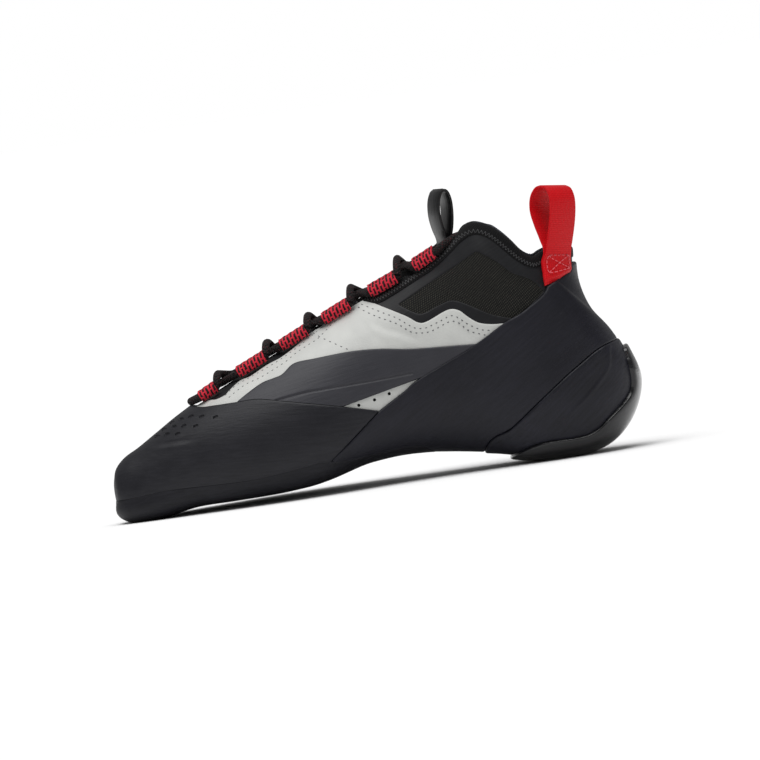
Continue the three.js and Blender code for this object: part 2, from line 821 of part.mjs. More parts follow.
TUNNEL_ROWS.slice(1).forEach((_, index) => {
  addPiece(`lace_crossing_${index + 1}`, toGeometry(crossing(index)), 0x1f1517, 0.8);
});

export default group;
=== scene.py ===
"""A low lace-up climbing shoe for the right foot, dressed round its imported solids.

The frame is in metres. The shoe's own sizes are written in millimetres, as in its source:
the toe points to -X, the heel to +X and the big-toe side to -Y.
"""

import math

import bpy
import numpy as np
from mathutils import Matrix, Vector
from mathutils.bvhtree import BVHTree


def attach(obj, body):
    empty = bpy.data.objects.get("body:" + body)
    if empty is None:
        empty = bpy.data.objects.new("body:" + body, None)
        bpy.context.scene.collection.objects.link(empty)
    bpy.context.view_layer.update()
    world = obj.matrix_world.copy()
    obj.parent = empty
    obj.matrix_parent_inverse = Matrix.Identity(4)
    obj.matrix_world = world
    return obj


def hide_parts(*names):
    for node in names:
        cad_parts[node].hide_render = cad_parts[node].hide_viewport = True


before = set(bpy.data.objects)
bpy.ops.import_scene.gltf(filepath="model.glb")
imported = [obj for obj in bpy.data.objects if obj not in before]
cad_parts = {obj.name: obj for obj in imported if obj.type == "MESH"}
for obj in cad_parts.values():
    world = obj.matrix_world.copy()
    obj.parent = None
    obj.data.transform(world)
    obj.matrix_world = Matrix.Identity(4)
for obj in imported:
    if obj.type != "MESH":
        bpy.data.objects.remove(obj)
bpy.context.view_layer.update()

# Camera and studio
# A long lens looks at the big-toe side almost level with the floor. It is rolled, because the
# photograph shows the shoe tipped up at the heel. The floor is a wide pale sheet under soft light.
MM = 0.001
PIXEL = 0.4531 * MM  # a pixel of the photograph, at the shoe
FRAME_PIXELS = 760
TOE_PIXEL = (150, 521)  # where the toe meets the ground in the photograph
ROLL = math.radians(8.636)
ELEVATION = math.radians(2)
DISTANCE = 4.0
NEAR_SIDE = -12 * MM
SENSOR = 36

across = Vector((math.cos(ROLL), 0, -math.sin(ROLL)))
rise = Vector((math.sin(ROLL), 0, math.cos(ROLL)))
towards = math.cos(ELEVATION) * Vector((0, -1, 0)) + math.sin(ELEVATION) * rise
upright = math.cos(ELEVATION) * rise + math.sin(ELEVATION) * Vector((0, 1, 0))
middle = FRAME_PIXELS / 2
target = across * (middle - TOE_PIXEL[0]) * PIXEL + rise * (TOE_PIXEL[1] - middle) * PIXEL
target.y += NEAR_SIDE
camera_data = bpy.data.cameras.new("camera")
camera_data.sensor_width = SENSOR
camera_data.lens = SENSOR * DISTANCE / (FRAME_PIXELS * PIXEL)
camera = bpy.data.objects.new("camera", camera_data)
bpy.context.scene.collection.objects.link(camera)
turn = Matrix((across, upright, towards)).transposed().to_4x4()
camera.matrix_world = Matrix.Translation(target + towards * DISTANCE) @ turn
bpy.context.scene.camera = camera


def linear(colour):
    """An sRGB hex colour as linear red, green, blue and alpha."""
    shares = [int(colour[place:place + 2], 16) / 255 for place in (1, 3, 5)]
    return [s / 12.92 if s <= 0.04045 else ((s + 0.055) / 1.055) ** 2.4 for s in shares] + [1]


def add_node(tree, kind, settings=None, links=None):
    """Adds a node, sets what settings names and links the sockets that links names. There a
    node alone stands for its first output."""
    node = tree.nodes.new("ShaderNode" + kind)
    for name, value in (settings or {}).items():
        if name in node.inputs.keys():
            node.inputs[name].default_value = value
        else:
            setattr(node, name, value)
    for name, source in (links or {}).items():
        output = source.outputs[0] if isinstance(source, bpy.types.Node) else source
        tree.links.new(output, node.inputs[name])
    return node


def material_tree(name):
    """A new material and its empty node tree."""
    made = bpy.data.materials.new(name)
    made.use_nodes = True
    made.node_tree.nodes.clear()
    return made, made.node_tree


# Matt paper: the floor is plain white and shows only the shadow.
paper, tree = material_tree("matt_white_paper")
surface = add_node(tree, "BsdfDiffuse", {"Color": linear("#fcfcfc")})
add_node(tree, "OutputMaterial", links={"Surface": surface})

FLOOR_REACH = 60
corners = [(-FLOOR_REACH, -FLOOR_REACH, 0), (FLOOR_REACH, -FLOOR_REACH, 0)]
corners += [(FLOOR_REACH, FLOOR_REACH, 0), (-FLOOR_REACH, FLOOR_REACH, 0)]
floor_mesh = bpy.data.meshes.new("floor")
floor_mesh.from_pydata(corners, [], [(0, 1, 2, 3)])
floor_mesh.materials.append(paper)
floor = bpy.data.objects.new("floor", floor_mesh)
bpy.context.scene.collection.objects.link(floor)

# One very wide soft light hangs overhead and whitens the whole floor; the room is dim, but the
# camera sees it as white as the floor.
OVERHEAD = 2.5
OVERHEAD_SPREAD = math.radians(55)
ROOM = 0.3
overhead_data = bpy.data.lights.new("overhead_diffuser", "SUN")
overhead_data.energy = OVERHEAD
overhead_data.angle = OVERHEAD_SPREAD
overhead = bpy.data.objects.new("overhead_diffuser", overhead_data)
overhead.rotation_euler = Vector((0.1, 0.2, -1)).to_track_quat("-Z", "Y").to_euler()
bpy.context.scene.collection.objects.link(overhead)
world = bpy.data.worlds.new("studio")
world.use_nodes = True
tree = world.node_tree
backdrop = tree.nodes["Background"]
backdrop.inputs["Color"].default_value = linear("#ffffff")
seen = add_node(tree, "LightPath")
strength = add_node(tree, "MapRange", {"To Min": ROOM, "To Max": 1.0},
                    {"Value": seen.outputs["Is Camera Ray"]})
tree.links.new(strength.outputs[0], backdrop.inputs["Strength"])
bpy.context.scene.world = world
bpy.context.scene.view_settings.view_transform = "Standard"

# Last
# The form that the upper is pulled over. Its sections run from the toe to the waist and then
# round the heel; each is a closed curve through a point under the foot and a point on top.
STANCE = 200  # from the middle of the toe's rest spot to the back of the heel's
UP = 100  # unit of the heights, from the last's bottom
LIFT = 4  # last's bottom above the floor
BALL_WIDTH = 83
HEEL_WIDTH = 59

# Columns: keel along, keel up, ridge along, ridge up, big-toe side, little-toe side,
# ridge sideways, height of the widest place, roundness below, roundness above.
FRONT_ROWS = [
    [-0.0610, 0.058, -0.0600, 0.158, -0.095, 0.023, -0.036, 0.50, 2.0, 2.0],
    [-0.0550, 0.026, -0.0530, 0.202, -0.138, 0.077, -0.030, 0.45, 2.4, 2.0],
    [-0.0350, 0.003, -0.0325, 0.242, -0.178, 0.148, -0.018, 0.40, 2.9, 2.0],
    [0.000, 0.000, 0.000, 0.276, -0.217, 0.211, -0.012, 0.36, 3.2, 2.0],
    [0.045, 0.009, 0.045, 0.330, -0.259, 0.289, -0.012, 0.33, 3.2, 2.0],
    [0.110, 0.030, 0.100, 0.396, -0.307, 0.392, -0.005, 0.30, 3.2, 1.95],
    [0.200, 0.032, 0.190, 0.490, -0.373, 0.494, 0.010, 0.27, 3.2, 1.9],
    [0.310, 0.036, 0.300, 0.588, -0.422, 0.572, 0.024, 0.25, 3.1, 1.85],
    [0.420, 0.055, 0.420, 0.698, -0.404, 0.578, 0.036, 0.25, 2.9, 1.85],
    [0.520, 0.086, 0.530, 0.800, -0.337, 0.524, 0.036, 0.27, 2.6, 1.9],
    [0.610, 0.096, 0.640, 0.894, -0.289, 0.458, 0.030, 0.30, 2.4, 2.0],
    [0.700, 0.077, 0.720, 0.970, -0.283, 0.404, 0.018, 0.32, 2.3, 2.15],
]
HEEL_ROWS = [
    [0.8000, 0.044, 0.7600, 1.015, -0.441, 0.517, 0, 0.33, 2.4, 2.3],
    [0.9000, 0.003, 0.7800, 1.045, -0.483, 0.500, 0, 0.33, 3.0, 2.5],
    [0.9900, 0.001, 0.7925, 1.070, -0.500, 0.500, 0, 0.33, 3.0, 2.6],
    [1.0550, 0.036, 0.8000, 1.090, -0.490, 0.490, 0, 0.33, 2.7, 2.7],
    [1.1025, 0.125, 0.8050, 1.105, -0.475, 0.475, 0, 0.35, 2.3, 2.7],
    [1.1290, 0.260, 0.8100, 1.115, -0.458, 0.458, 0, 0.37, 2.3, 2.7],
    [1.1150, 0.385, 0.8150, 1.125, -0.432, 0.432, 0, 0.40, 2.3, 2.7],
    [1.0890, 0.500, 0.8200, 1.135, -0.420, 0.420, 0, 0.43, 2.3, 2.6],
    [1.0525, 0.610, 0.8250, 1.145, -0.412, 0.412, 0, 0.46, 2.3, 2.5],
    [1.0350, 0.740, 0.8300, 1.160, -0.407, 0.407, 0, 0.48, 2.3, 2.4],
    [1.0375, 0.880, 0.8350, 1.180, -0.407, 0.407, 0, 0.50, 2.3, 2.3],
    [1.0450, 1.000, 0.8400, 1.205, -0.407, 0.407, 0, 0.50, 2.3, 2.3],
]
TIP = (-0.0625 * STANCE, -0.036 * BALL_WIDTH, LIFT + 0.110 * UP)


def sized(rows, width):
    """The rows' shares as millimetres, with the heights above the floor."""
    table = np.array(rows, float)
    table[:, [0, 2]] *= STANCE
    table[:, [1, 3]] = LIFT + table[:, [1, 3]] * UP
    table[:, 4:7] *= width
    return table


ROWS = np.concatenate([sized(FRONT_ROWS, BALL_WIDTH), sized(HEEL_ROWS, HEEL_WIDTH)])
row_steps = np.diff(ROWS[:, :4], axis=0)
KNOTS = np.concatenate([[0], np.cumsum((np.hypot(row_steps[:, 0], row_steps[:, 1])
                                        + np.hypot(row_steps[:, 2], row_steps[:, 3])) / 2)])


def row_at(position):
    """Rows of the table at places between its rows, on a smooth curve through them."""
    position = np.atleast_1d(position)
    low = np.clip(np.floor(position).astype(int), 0, len(ROWS) - 2)
    share = (position - low)[:, None]
    before = np.maximum(np.arange(len(ROWS)) - 1, 0)
    after = np.minimum(np.arange(len(ROWS)) + 1, len(ROWS) - 1)
    slopes = (ROWS[after] - ROWS[before]) / (KNOTS[after] - KNOTS[before])[:, None]
    span = (KNOTS[low + 1] - KNOTS[low])[:, None]
    leave, arrive = slopes[low] * span, slopes[low + 1] * span
    rise_by = ROWS[low + 1] - ROWS[low]
    bend = (3 * rise_by - 2 * leave - arrive) + share * (leave + arrive - 2 * rise_by)
    return ROWS[low] + share * (leave + share * bend)


def half_section(row, is_big_toe, steps=400):
    """One half of a section, from the keel up to the ridge, as points evenly spaced in angle."""
    keel_x, keel_z, ridge_x, ridge_z, big_toe, little_toe, ridge_y, widest, low, high = row
    angle = np.linspace(0, np.pi, steps)
    is_low = angle < np.pi / 2
    power = 2 / np.where(is_low, low, high)
    lift = np.abs(np.cos(angle)) ** power
    up = np.where(is_low, widest * (1 - lift), widest + (1 - widest) * lift)
    out = np.abs(np.sin(angle)) ** power
    keel_y = (big_toe + little_toe) / 2
    reach = (big_toe if is_big_toe else little_toe) - (keel_y + (ridge_y - keel_y) * widest)
    side = keel_y + (ridge_y - keel_y) * up + reach * out
    return np.stack([keel_x + (ridge_x - keel_x) * up, side, keel_z + (ridge_z - keel_z) * up], 1)


def lengths_along(points):
    """Length run so far at each point of a line."""
    return np.concatenate([[0], np.cumsum(np.linalg.norm(np.diff(points, axis=0), axis=1))])


def spaced(points, count):
    """The same line as so many points at even distances."""
    run = lengths_along(points)
    even = np.linspace(0, run[-1], count)
    return np.stack([np.interp(even, run, points[:, k]) for k in range(points.shape[1])], 1)


GRID_SECTIONS = 560
GRID_HALF = 140
TIP_RINGS = 12
COLUMNS = 2 * GRID_HALF


def last_grid():
    """The last as a grid of points, with its length along and around at each of them."""
    positions = np.interp(np.linspace(0, KNOTS[-1], GRID_SECTIONS), KNOTS, np.arange(len(ROWS)))
    rings = []
    around = []
    for row in row_at(positions):
        up = spaced(half_section(row, True), GRID_HALF + 1)
        down = spaced(half_section(row, False), GRID_HALF + 1)[::-1]
        ring = np.concatenate([up, down[1:]])
        rings.append(ring)
        run = lengths_along(ring)
        around.append(run - run[GRID_HALF])
    rings, around = np.array(rings), np.array(around)
    share = np.linspace(0, 1, TIP_RINGS, endpoint=False)[:, None, None]
    nose = np.array(TIP) + (rings[0] - TIP) * share
    nose[:, :, 0] = TIP[0] + (rings[0][:, 0] - TIP[0]) * share[:, :, 0] ** 2
    along = np.linspace(0, KNOTS[-1], GRID_SECTIONS)
    reach = np.linalg.norm(rings[0] - TIP, axis=1).mean()
    along = np.concatenate([-reach * (1 - share[:, 0, 0]), along])
    return np.concatenate([nose, rings]), along, np.concatenate([share[:, :, 0] * around[0], around])


GRID, ALONG, AROUND = last_grid()
LAST_ROW = len(GRID) - 1


def grid_normals():
    """Outward directions at the grid's points."""
    down = np.gradient(GRID, axis=0)
    wrapped = np.concatenate([GRID[:, -2:-1], GRID, GRID[:, 1:2]], 1)
    over = (wrapped[:, 2:] - wrapped[:, :-2]) / 2
    normal = np.cross(down, over)
    normal[0] = (-1, 0, 0)
    return normal / np.linalg.norm(normal, axis=2, keepdims=True)


NORMALS = grid_normals()


def between(values, where):
    """Values of the grid at places between its points, on smooth curves through them."""
    row = np.clip(where[:, 0], 0, LAST_ROW)
    low = np.minimum(np.floor(row).astype(int), LAST_ROW - 1)
    column = np.mod(where[:, 1], COLUMNS)
    left = np.minimum(np.floor(column).astype(int), COLUMNS - 1)
    made = 0
    for i, row_weight in enumerate(cubic_weights(row - low)):
        rows = np.clip(low + i - 1, 0, LAST_ROW)
        for j, column_weight in enumerate(cubic_weights(column - left)):
            found = values[rows, np.mod(left + j - 1, COLUMNS)]
            weight = row_weight * column_weight
            made = made + found * (weight[:, None] if found.ndim == 2 else weight)
    return made


def cubic_weights(t):
    """Weights of the four neighbours on a smooth curve between the middle two."""
    return [(-t + 2 * t**2 - t**3) / 2, (2 - 5 * t**2 + 3 * t**3) / 2,
            (t + 4 * t**2 - 3 * t**3) / 2, (t**3 - t**2) / 2]


def ease(share):
    inside = np.clip(share, 0, 1)
    return inside * inside * (3 - 2 * inside)


def ridge_position(along):
    """The table's position whose ridge lies so far along, in millimetres."""
    positions = np.linspace(0, len(ROWS) - 1, 2000)
    return np.interp(along, row_at(positions)[:, 2], positions)


THROAT_START = 0.135 * STANCE
THROAT_END = 0.8 * STANCE
THROAT_TOE = 9
THROAT_TOP = 19


def throat_half(along):
    """Half the lacing gap's width at a place along the ridge."""
    share = (along - THROAT_START) / (THROAT_END - THROAT_START)
    return (THROAT_TOE + (THROAT_TOP - THROAT_TOE) * share) / 2


def beside_ridge(along, distance, is_big_toe, lift):
    """A point so far along the ridge and down one side of it, raised off the last's surface."""
    def at(shift, down):
        half = half_section(row_at(ridge_position(along + shift))[0], is_big_toe)[::-1]
        run = lengths_along(half)
        return np.array([np.interp(down, run, half[:, k]) for k in range(3)])
    small = 0.5
    point = at(0, distance)
    normal = np.cross(at(small, distance) - point, at(0, distance + small) - point)
    normal *= np.sign(normal[2]) / np.linalg.norm(normal)
    return point + normal * lift


# Panels over the last
# Leather, film and rubber sheets are cut flat and pulled over the last. Each is made here as
# triangles on the last's surface, cut along its outline and given its thickness.
class Panel:
    """Triangles laid over the last. Each corner has its place in the grid and its distances
    to the outlines that cut and shape the panel."""

    SNAP = 0.03

    def __init__(self, rows, columns, distances):
        u = np.linspace(0, LAST_ROW, rows + 1)
        v = np.linspace(0, COLUMNS, columns + 1)
        self.where = np.stack(np.meshgrid(u, v, indexing="ij"), -1).reshape(-1, 2)
        index = np.arange(len(self.where)).reshape(rows + 1, columns + 1)
        a, b, c, d = index[:-1, :-1], index[1:, :-1], index[:-1, 1:], index[1:, 1:]
        one = np.stack([a, b, c], -1).reshape(-1, 3)
        two = np.stack([c, b, d], -1).reshape(-1, 3)
        self.triangles = np.concatenate([one, two])
        points, normals = self.points(), self.normals()
        self.measures = distances
        self.far = {name: measure(points, normals) for name, measure in distances.items()}

    def points(self):
        return between(GRID, self.where)

    def normals(self):
        normals = between(NORMALS, self.where)
        return normals / np.linalg.norm(normals, axis=1, keepdims=True)

    def side_spots(self, depth):
        """Side-view places of the points at a depth over the last."""
        return (self.points() + self.normals() * depth)[:, [0, 2]]

    def sides(self):
        """Unique edges, and for each triangle the numbers of its three edges."""
        count = len(self.where)
        pairs = self.triangles[:, [0, 1, 1, 2, 2, 0]].reshape(-1, 2)
        keys, index = np.unique(pairs.min(1) * count + pairs.max(1), return_inverse=True)
        return np.stack([keys // count, keys % count], 1), index.reshape(-1, 3)

    def divide(self, ends, index, cut, share):
        """Puts a new corner on each cut edge and divides the triangles that have one."""
        fresh = np.full(len(ends), -1)
        fresh[cut] = len(self.where) + np.arange(cut.sum())
        one, two, part = ends[cut, 0], ends[cut, 1], share[cut]
        mixed = self.where[one] + (self.where[two] - self.where[one]) * part[:, None]
        self.where = np.concatenate([self.where, mixed])
        for name, far in self.far.items():
            self.far[name] = np.concatenate([far, far[one] + (far[two] - far[one]) * part])
        marked = cut[index]
        count = marked.sum(1)
        made = [self.triangles[count == 0]]
        for k in range(3):
            chosen = (count == 1) & marked[:, k]
            p, q, r = np.roll(self.triangles[chosen], -k, 1).T
            m = fresh[index[chosen, k]]
            made += [np.stack([p, m, r], 1), np.stack([m, q, r], 1)]
            chosen = (count == 2) & ~marked[:, k]
            p, q, r = np.roll(self.triangles[chosen], -k, 1).T
            m, n = fresh[index[chosen, (k + 1) % 3]], fresh[index[chosen, (k + 2) % 3]]
            made += [np.stack([p, q, m], 1), np.stack([p, m, n], 1), np.stack([n, m, r], 1)]
        p, q, r = self.triangles[count == 3].T
        m, n, o = fresh[index[count == 3]].T
        made += [np.stack([p, m, o], 1), np.stack([m, q, n], 1)]
        made += [np.stack([o, n, r], 1), np.stack([m, n, o], 1)]
        self.triangles = np.concatenate(made)

    def split(self, name, *levels):
        """Cuts the triangles along lines at these distances."""
        for level in levels:
            far = self.far[name]
            far[np.abs(far - level) < self.SNAP] = level
            ends, index = self.sides()
            a, b = far[ends[:, 0]] - level, far[ends[:, 1]] - level
            cut = a * b < 0
            before = len(far)
            self.divide(ends, index, cut, a / np.where(cut, a - b, 1))
            self.far[name][before:] = level
        return self

    def refine(self, name, low, high):
        """Divides the triangles between two distances into four and measures them again."""
        far = self.far[name][self.triangles]
        chosen = (far.max(1) > low) & (far.min(1) < high)
        ends, index = self.sides()
        cut = np.zeros(len(ends), bool)
        cut[index[chosen].ravel()] = True
        self.divide(ends, index, cut, np.full(len(ends), 0.5))
        self.far[name] = self.measures[name](self.points(), self.normals())
        return self

    def keep(self, name, low=0, high=np.inf):
        """Drops the triangles whose distance isn't between two limits."""
        far = self.far[name][self.triangles].mean(1)
        self.triangles = self.triangles[(far > low) & (far < high)]
        used, inverse = np.unique(self.triangles, return_inverse=True)
        self.where = self.where[used]
        self.far = {key: value[used] for key, value in self.far.items()}
        self.triangles = inverse.reshape(-1, 3)
        return self

    def body(self, name, inner, outer, finish, lowest=None):
        """The panel as a closed mesh between two depths over the last's surface."""
        points, normals = self.points(), self.normals()
        around = np.mod(self.where[:, 1], COLUMNS)
        around[self.where[:, 0] < 1e-6] = 0
        keys = np.round(np.stack([self.where[:, 0], around], 1), 4)
        _, first, weld = np.unique(keys, axis=0, return_index=True, return_inverse=True)
        weld = weld.ravel()
        top = points + normals * np.broadcast_to(outer, len(points))[:, None]
        bottom = points + normals * np.broadcast_to(inner, len(points))[:, None]
        if lowest is not None:
            top[:, 2] = np.maximum(top[:, 2], lowest)
        triangles = weld[self.triangles]
        sound = (triangles[:, 0] != triangles[:, 1]) & (triangles[:, 1] != triangles[:, 2])
        sound &= triangles[:, 2] != triangles[:, 0]
        triangles, loose = triangles[sound], self.triangles[sound]
        count = len(first)
        pairs = triangles[:, [0, 1, 1, 2, 2, 0]].reshape(-1, 2)
        corners = loose[:, [0, 1, 1, 2, 2, 0]].reshape(-1, 2)
        rim = ~np.isin(pairs[:, 0] * count + pairs[:, 1], pairs[:, 1] * count + pairs[:, 0])
        a, b = pairs[rim].T
        c, d = corners[rim].T
        faces = [triangles, triangles[:, ::-1] + count]
        faces += [np.stack([b, a, a + count], 1), np.stack([b, a + count, b + count], 1)]
        uses = [loose, loose[:, ::-1], np.stack([d, c, c], 1), np.stack([d, c, d], 1)]
        cloth = np.stack([np.interp(self.where[:, 0], np.arange(LAST_ROW + 1), ALONG),
                          self.length_around()], 1)
        return add_mesh(name, np.concatenate([top[first], bottom[first]]),
                        np.concatenate(faces), finish, cloth[np.concatenate(uses).ravel()])

    def length_around(self):
        """Length down from the ridge, with the keel's two edges kept apart."""
        row = np.clip(np.round(self.where[:, 0]).astype(int), 0, LAST_ROW)
        low = np.clip(np.floor(self.where[:, 1]).astype(int), 0, COLUMNS - 1)
        share = self.where[:, 1] - low
        return AROUND[row, low] + (AROUND[row, low + 1] - AROUND[row, low]) * share


SHARP = math.radians(48)


def add_mesh(name, points, faces, finish, cloth=None):
    """A mesh piece from points in millimetres; cloth is each corner's place on the flat sheet."""
    mesh = bpy.data.meshes.new(name)
    mesh.vertices.add(len(points))
    mesh.vertices.foreach_set("co", (np.asarray(points, np.float32) * MM).ravel())
    sides = np.shape(faces)[1]
    mesh.loops.add(len(faces) * sides)
    mesh.loops.foreach_set("vertex_index", np.asarray(faces, np.int32).ravel())
    mesh.polygons.add(len(faces))
    mesh.polygons.foreach_set("loop_start", np.arange(len(faces), dtype=np.int32) * sides)
    if cloth is not None:
        layer = mesh.uv_layers.new(name="cloth")
        layer.data.foreach_set("uv", np.asarray(cloth, np.float32).ravel())
    mesh.update(calc_edges=True)
    mesh.validate()
    mesh.shade_smooth()
    mesh.set_sharp_from_angle(angle=SHARP)
    mesh.materials.append(finish)
    piece = bpy.data.objects.new(name, mesh)
    bpy.context.scene.collection.objects.link(piece)
    return piece


def curve(points, steps=8):
    """A smooth line through points, as many short steps."""
    points = np.array(points, float)
    ends = np.concatenate([2 * points[:1] - points[1:2], points, 2 * points[-1:] - points[-2:-1]])
    share = np.linspace(0, 1, steps, endpoint=False)
    weights = np.stack(cubic_weights(share), 1)
    runs = [weights @ ends[k:k + 4] for k in range(len(points) - 1)]
    return np.concatenate([*runs, points[-1:]])


def outline(*runs):
    """A closed side-view outline from smooth lines that meet at corners."""
    lines = [curve(run)[:-1] if len(run) > 2 else np.array(run[:1], float) for run in runs]
    return np.concatenate([*lines, np.array(runs[-1][-1:], float)])


def line_distance(spots, line):
    """Shortest distance from each spot to a line of points."""
    nearest = np.full(len(spots), np.inf)
    for a, b in zip(line[:-1], line[1:]):
        way = b - a
        share = np.clip((spots - a) @ way / max(way @ way, 1e-12), 0, 1)
        nearest = np.minimum(nearest, np.linalg.norm(spots - a - share[:, None] * way, axis=1))
    return nearest


def inside_distance(spots, ring):
    """Distance to a closed outline, above zero inside it and below zero outside."""
    closed = np.concatenate([ring, ring[:1]])
    inside = np.zeros(len(spots), bool)
    for a, b in zip(closed[:-1], closed[1:]):
        straddles = (a[1] > spots[:, 1]) != (b[1] > spots[:, 1])
        rising = np.where(a[1] == b[1], 1e-9, b[1] - a[1])
        inside ^= straddles & (spots[:, 0] < a[0] + (spots[:, 1] - a[1]) * (b[0] - a[0]) / rising)
    return np.where(inside, 1, -1) * line_distance(spots, closed)


def side_view(ring, depth):
    """A measure of how far inside a side-view outline a face at a depth over the last lies."""
    return lambda points, normals: inside_distance((points + normals * depth)[:, [0, 2]], ring)


def outside(measure):
    return lambda points, normals: -measure(points, normals)


def crease(spots, start, end, width):
    """A soft fold along a line: raised on one side of it and sunk on the other."""
    start, end = np.array(start, float), np.array(end, float)
    length = np.linalg.norm(end - start)
    way = (end - start) / length
    along = (spots - start) @ way
    off = ((spots[:, 0] - start[0]) * way[1] - (spots[:, 1] - start[1]) * way[0]) / width
    fade = ease(np.minimum(along, length - along) / (0.35 * length))
    return off * np.exp(0.5 - off**2 / 2) * fade


def from_pixel(pixel):
    """A pixel of the photograph as millimetres along and up in the side view."""
    right, up = pixel[0] - TOE_PIXEL[0], TOE_PIXEL[1] - pixel[1]
    scale = PIXEL / MM
    return (scale * (right * math.cos(ROLL) + up * math.sin(ROLL)),
            scale * (up * math.cos(ROLL) - right * math.sin(ROLL)))


def rounded(distance, radius, edge):
    """Share of a sheet's thickness, from its cut edge inwards."""
    share = np.clip(distance / radius, 0, 1)
    return edge + (1 - edge) * np.sqrt(1 - (1 - share) ** 2)


FINE = (300, 170)
MEDIUM = (180, 100)

# Front sole
# Moulded climbing rubber, cemented under the toes and the ball of the foot. It is 4.2 mm thick,
# turns up the sides to a ground edge, and thins to a tail under the arch.
def settle(piece, slot, *nodes):
    """Puts a piece in place of its solids, fixed to the shoe's one body. The slot is not used."""
    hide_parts(*nodes)
    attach(piece, "root")


SOLE = 4.2
SOLE_SIDE = 3.0
SOLE_TAIL = 1.9
SEAT = 0.3  # what lies under a rubber part: the upper's surface and the cement

FRONT_SOLE = outline(
    [(-30, 10.8), (-8, 11.4), (9.4, 12.8), (28, 12.5), (46.8, 12.1), (60.2, 12.9), (80.6, 15.2)],
    [(80.6, 15.2), (86, 14.6), (93.6, 14.1), (104, 14.7), (119, 15.6), (128.2, 14.3), (138, 6)],
    [(138, 6), (138, -16)],
    [(138, -16), (-30, -16)],
)
TAIL_ROWS = [(-60, -75, 75), (80, -75, 75), (94, -34.9, 51.5), (112, -24.9, 35.7), (126, -20.8, 27.4),
             (135, -12.5, 16.6)]
tail_rows = np.array(TAIL_ROWS)
tail_plan = np.concatenate([tail_rows[:, [0, 1]], tail_rows[::-1][:, [0, 2]]])
SOLE_EDGE = 1.6  # the sole is ground down to the rand's thickness along its top edge
GROUND = 5  # width of the ground bevel


def front_sole_distance(points, normals):
    face = points + normals * (SEAT + SOLE_EDGE)
    return np.minimum(inside_distance(face[:, [0, 2]], FRONT_SOLE), inside_distance(face[:, :2], tail_plan))


def rubber_tree(name, colour, worn, roughness, coat, lean=0):
    """Dark climbing rubber: a faint bloom, fine drawn streaks that lean so many degrees, soft gloss."""
    made, tree = material_tree(name)
    place = add_node(tree, "TexCoord")
    stretch = add_node(tree, "Mapping",
                       {"vector_type": "TEXTURE", "Rotation": (0, -math.radians(lean), 0),
                        "Scale": (1 / 30, 1 / 160, 1 / 420)}, {"Vector": place.outputs["Object"]})
    streaks = add_node(tree, "TexNoise", {"Scale": 2.2, "Detail": 5, "Roughness": 0.62},
                       {"Vector": stretch})
    bloom = add_node(tree, "TexNoise", {"Scale": 38, "Detail": 4, "Roughness": 0.55},
                     {"Vector": place.outputs["Object"]})
    blend = add_node(tree, "Math", {"operation": "MULTIPLY"},
                     {0: bloom.outputs["Fac"], 1: streaks.outputs["Fac"]})
    ramp = add_node(tree, "ValToRGB", links={"Fac": blend})
    ramp.color_ramp.elements[0].position = 0.12
    ramp.color_ramp.elements[0].color = linear(colour)
    ramp.color_ramp.elements[1].position = 0.45
    ramp.color_ramp.elements[1].color = linear(worn)
    grain = add_node(tree, "TexNoise", {"Scale": 2600, "Detail": 3},
                     {"Vector": place.outputs["Object"]})
    low = add_node(tree, "Bump", {"Strength": 0.25, "Distance": 0.0006},
                   {"Height": streaks.outputs["Fac"]})
    fine = add_node(tree, "Bump", {"Strength": 0.12, "Distance": 0.0002},
                    {"Height": grain.outputs["Fac"], "Normal": low})
    rough = add_node(tree, "MapRange", {"To Min": roughness - 0.06, "To Max": roughness + 0.1},
                     {"Value": bloom.outputs["Fac"]})
    shader = add_node(tree, "BsdfPrincipled",
                      {"IOR": 1.5, "Coat Weight": coat, "Coat Roughness": 0.2, "Specular IOR Level": 0.25},
                      {"Base Color": ramp, "Roughness": rough,
                       "Normal": fine})
    add_node(tree, "OutputMaterial", links={"Surface": shader})
    return made


# Vulcanised rubber with carbon black: matt with a soft sheen, grey where it is rubbed.
sole_rubber = rubber_tree("ground_climbing_rubber", "#0c0c11", "#1f1f25", 0.5, 0.0, lean=2)

panel = Panel(*FINE, {"edge": front_sole_distance})
panel.split("edge", 0, 0.15, 0.5, 1.2, 2.5).keep("edge", 0)
along, facing_down = panel.points()[:, 0], -panel.normals()[:, 2]
underneath = SOLE_SIDE + (SOLE - SOLE_SIDE) * ease(facing_down)
thickness = underneath + (SOLE_TAIL - underneath) * ease((along / STANCE - 0.36) / 0.16)
bevel = SOLE_EDGE + (thickness - SOLE_EDGE) * ease(panel.far["edge"] / GROUND)
front_sole = panel.body("front_sole", SEAT, SEAT + bevel * rounded(panel.far["edge"], 0.5, 0.75),
                        sole_rubber, lowest=0)
settle(front_sole, "sole_rubber", "sole_front")

# Heel piece
# Glossy rubber moulded as one wedge that wraps the heel from the arch up the back, cemented over
# the cup. Its thick rim catches the light all along the side.
HEEL_SOLE = 4.2
HEEL_SIDE = 2.8
HEEL_PIECE = outline(
    [(165.2, 3.6), (174, 7), (182.8, 8.7), (192, 8.6), (200.8, 8.8), (206.6, 10.8), (211.4, 14.2),
     (222.6, 23.1), (225.6, 29), (225.6, 37), (224.4, 46)],
    [(224.4, 46), (226, 47.8)],
    [(226, 47.8), (250, 48)],
    [(250, 48), (250, -16)],
    [(250, -16), (164, -16)],
    [(164, -16), (165.2, 3.6)],
)
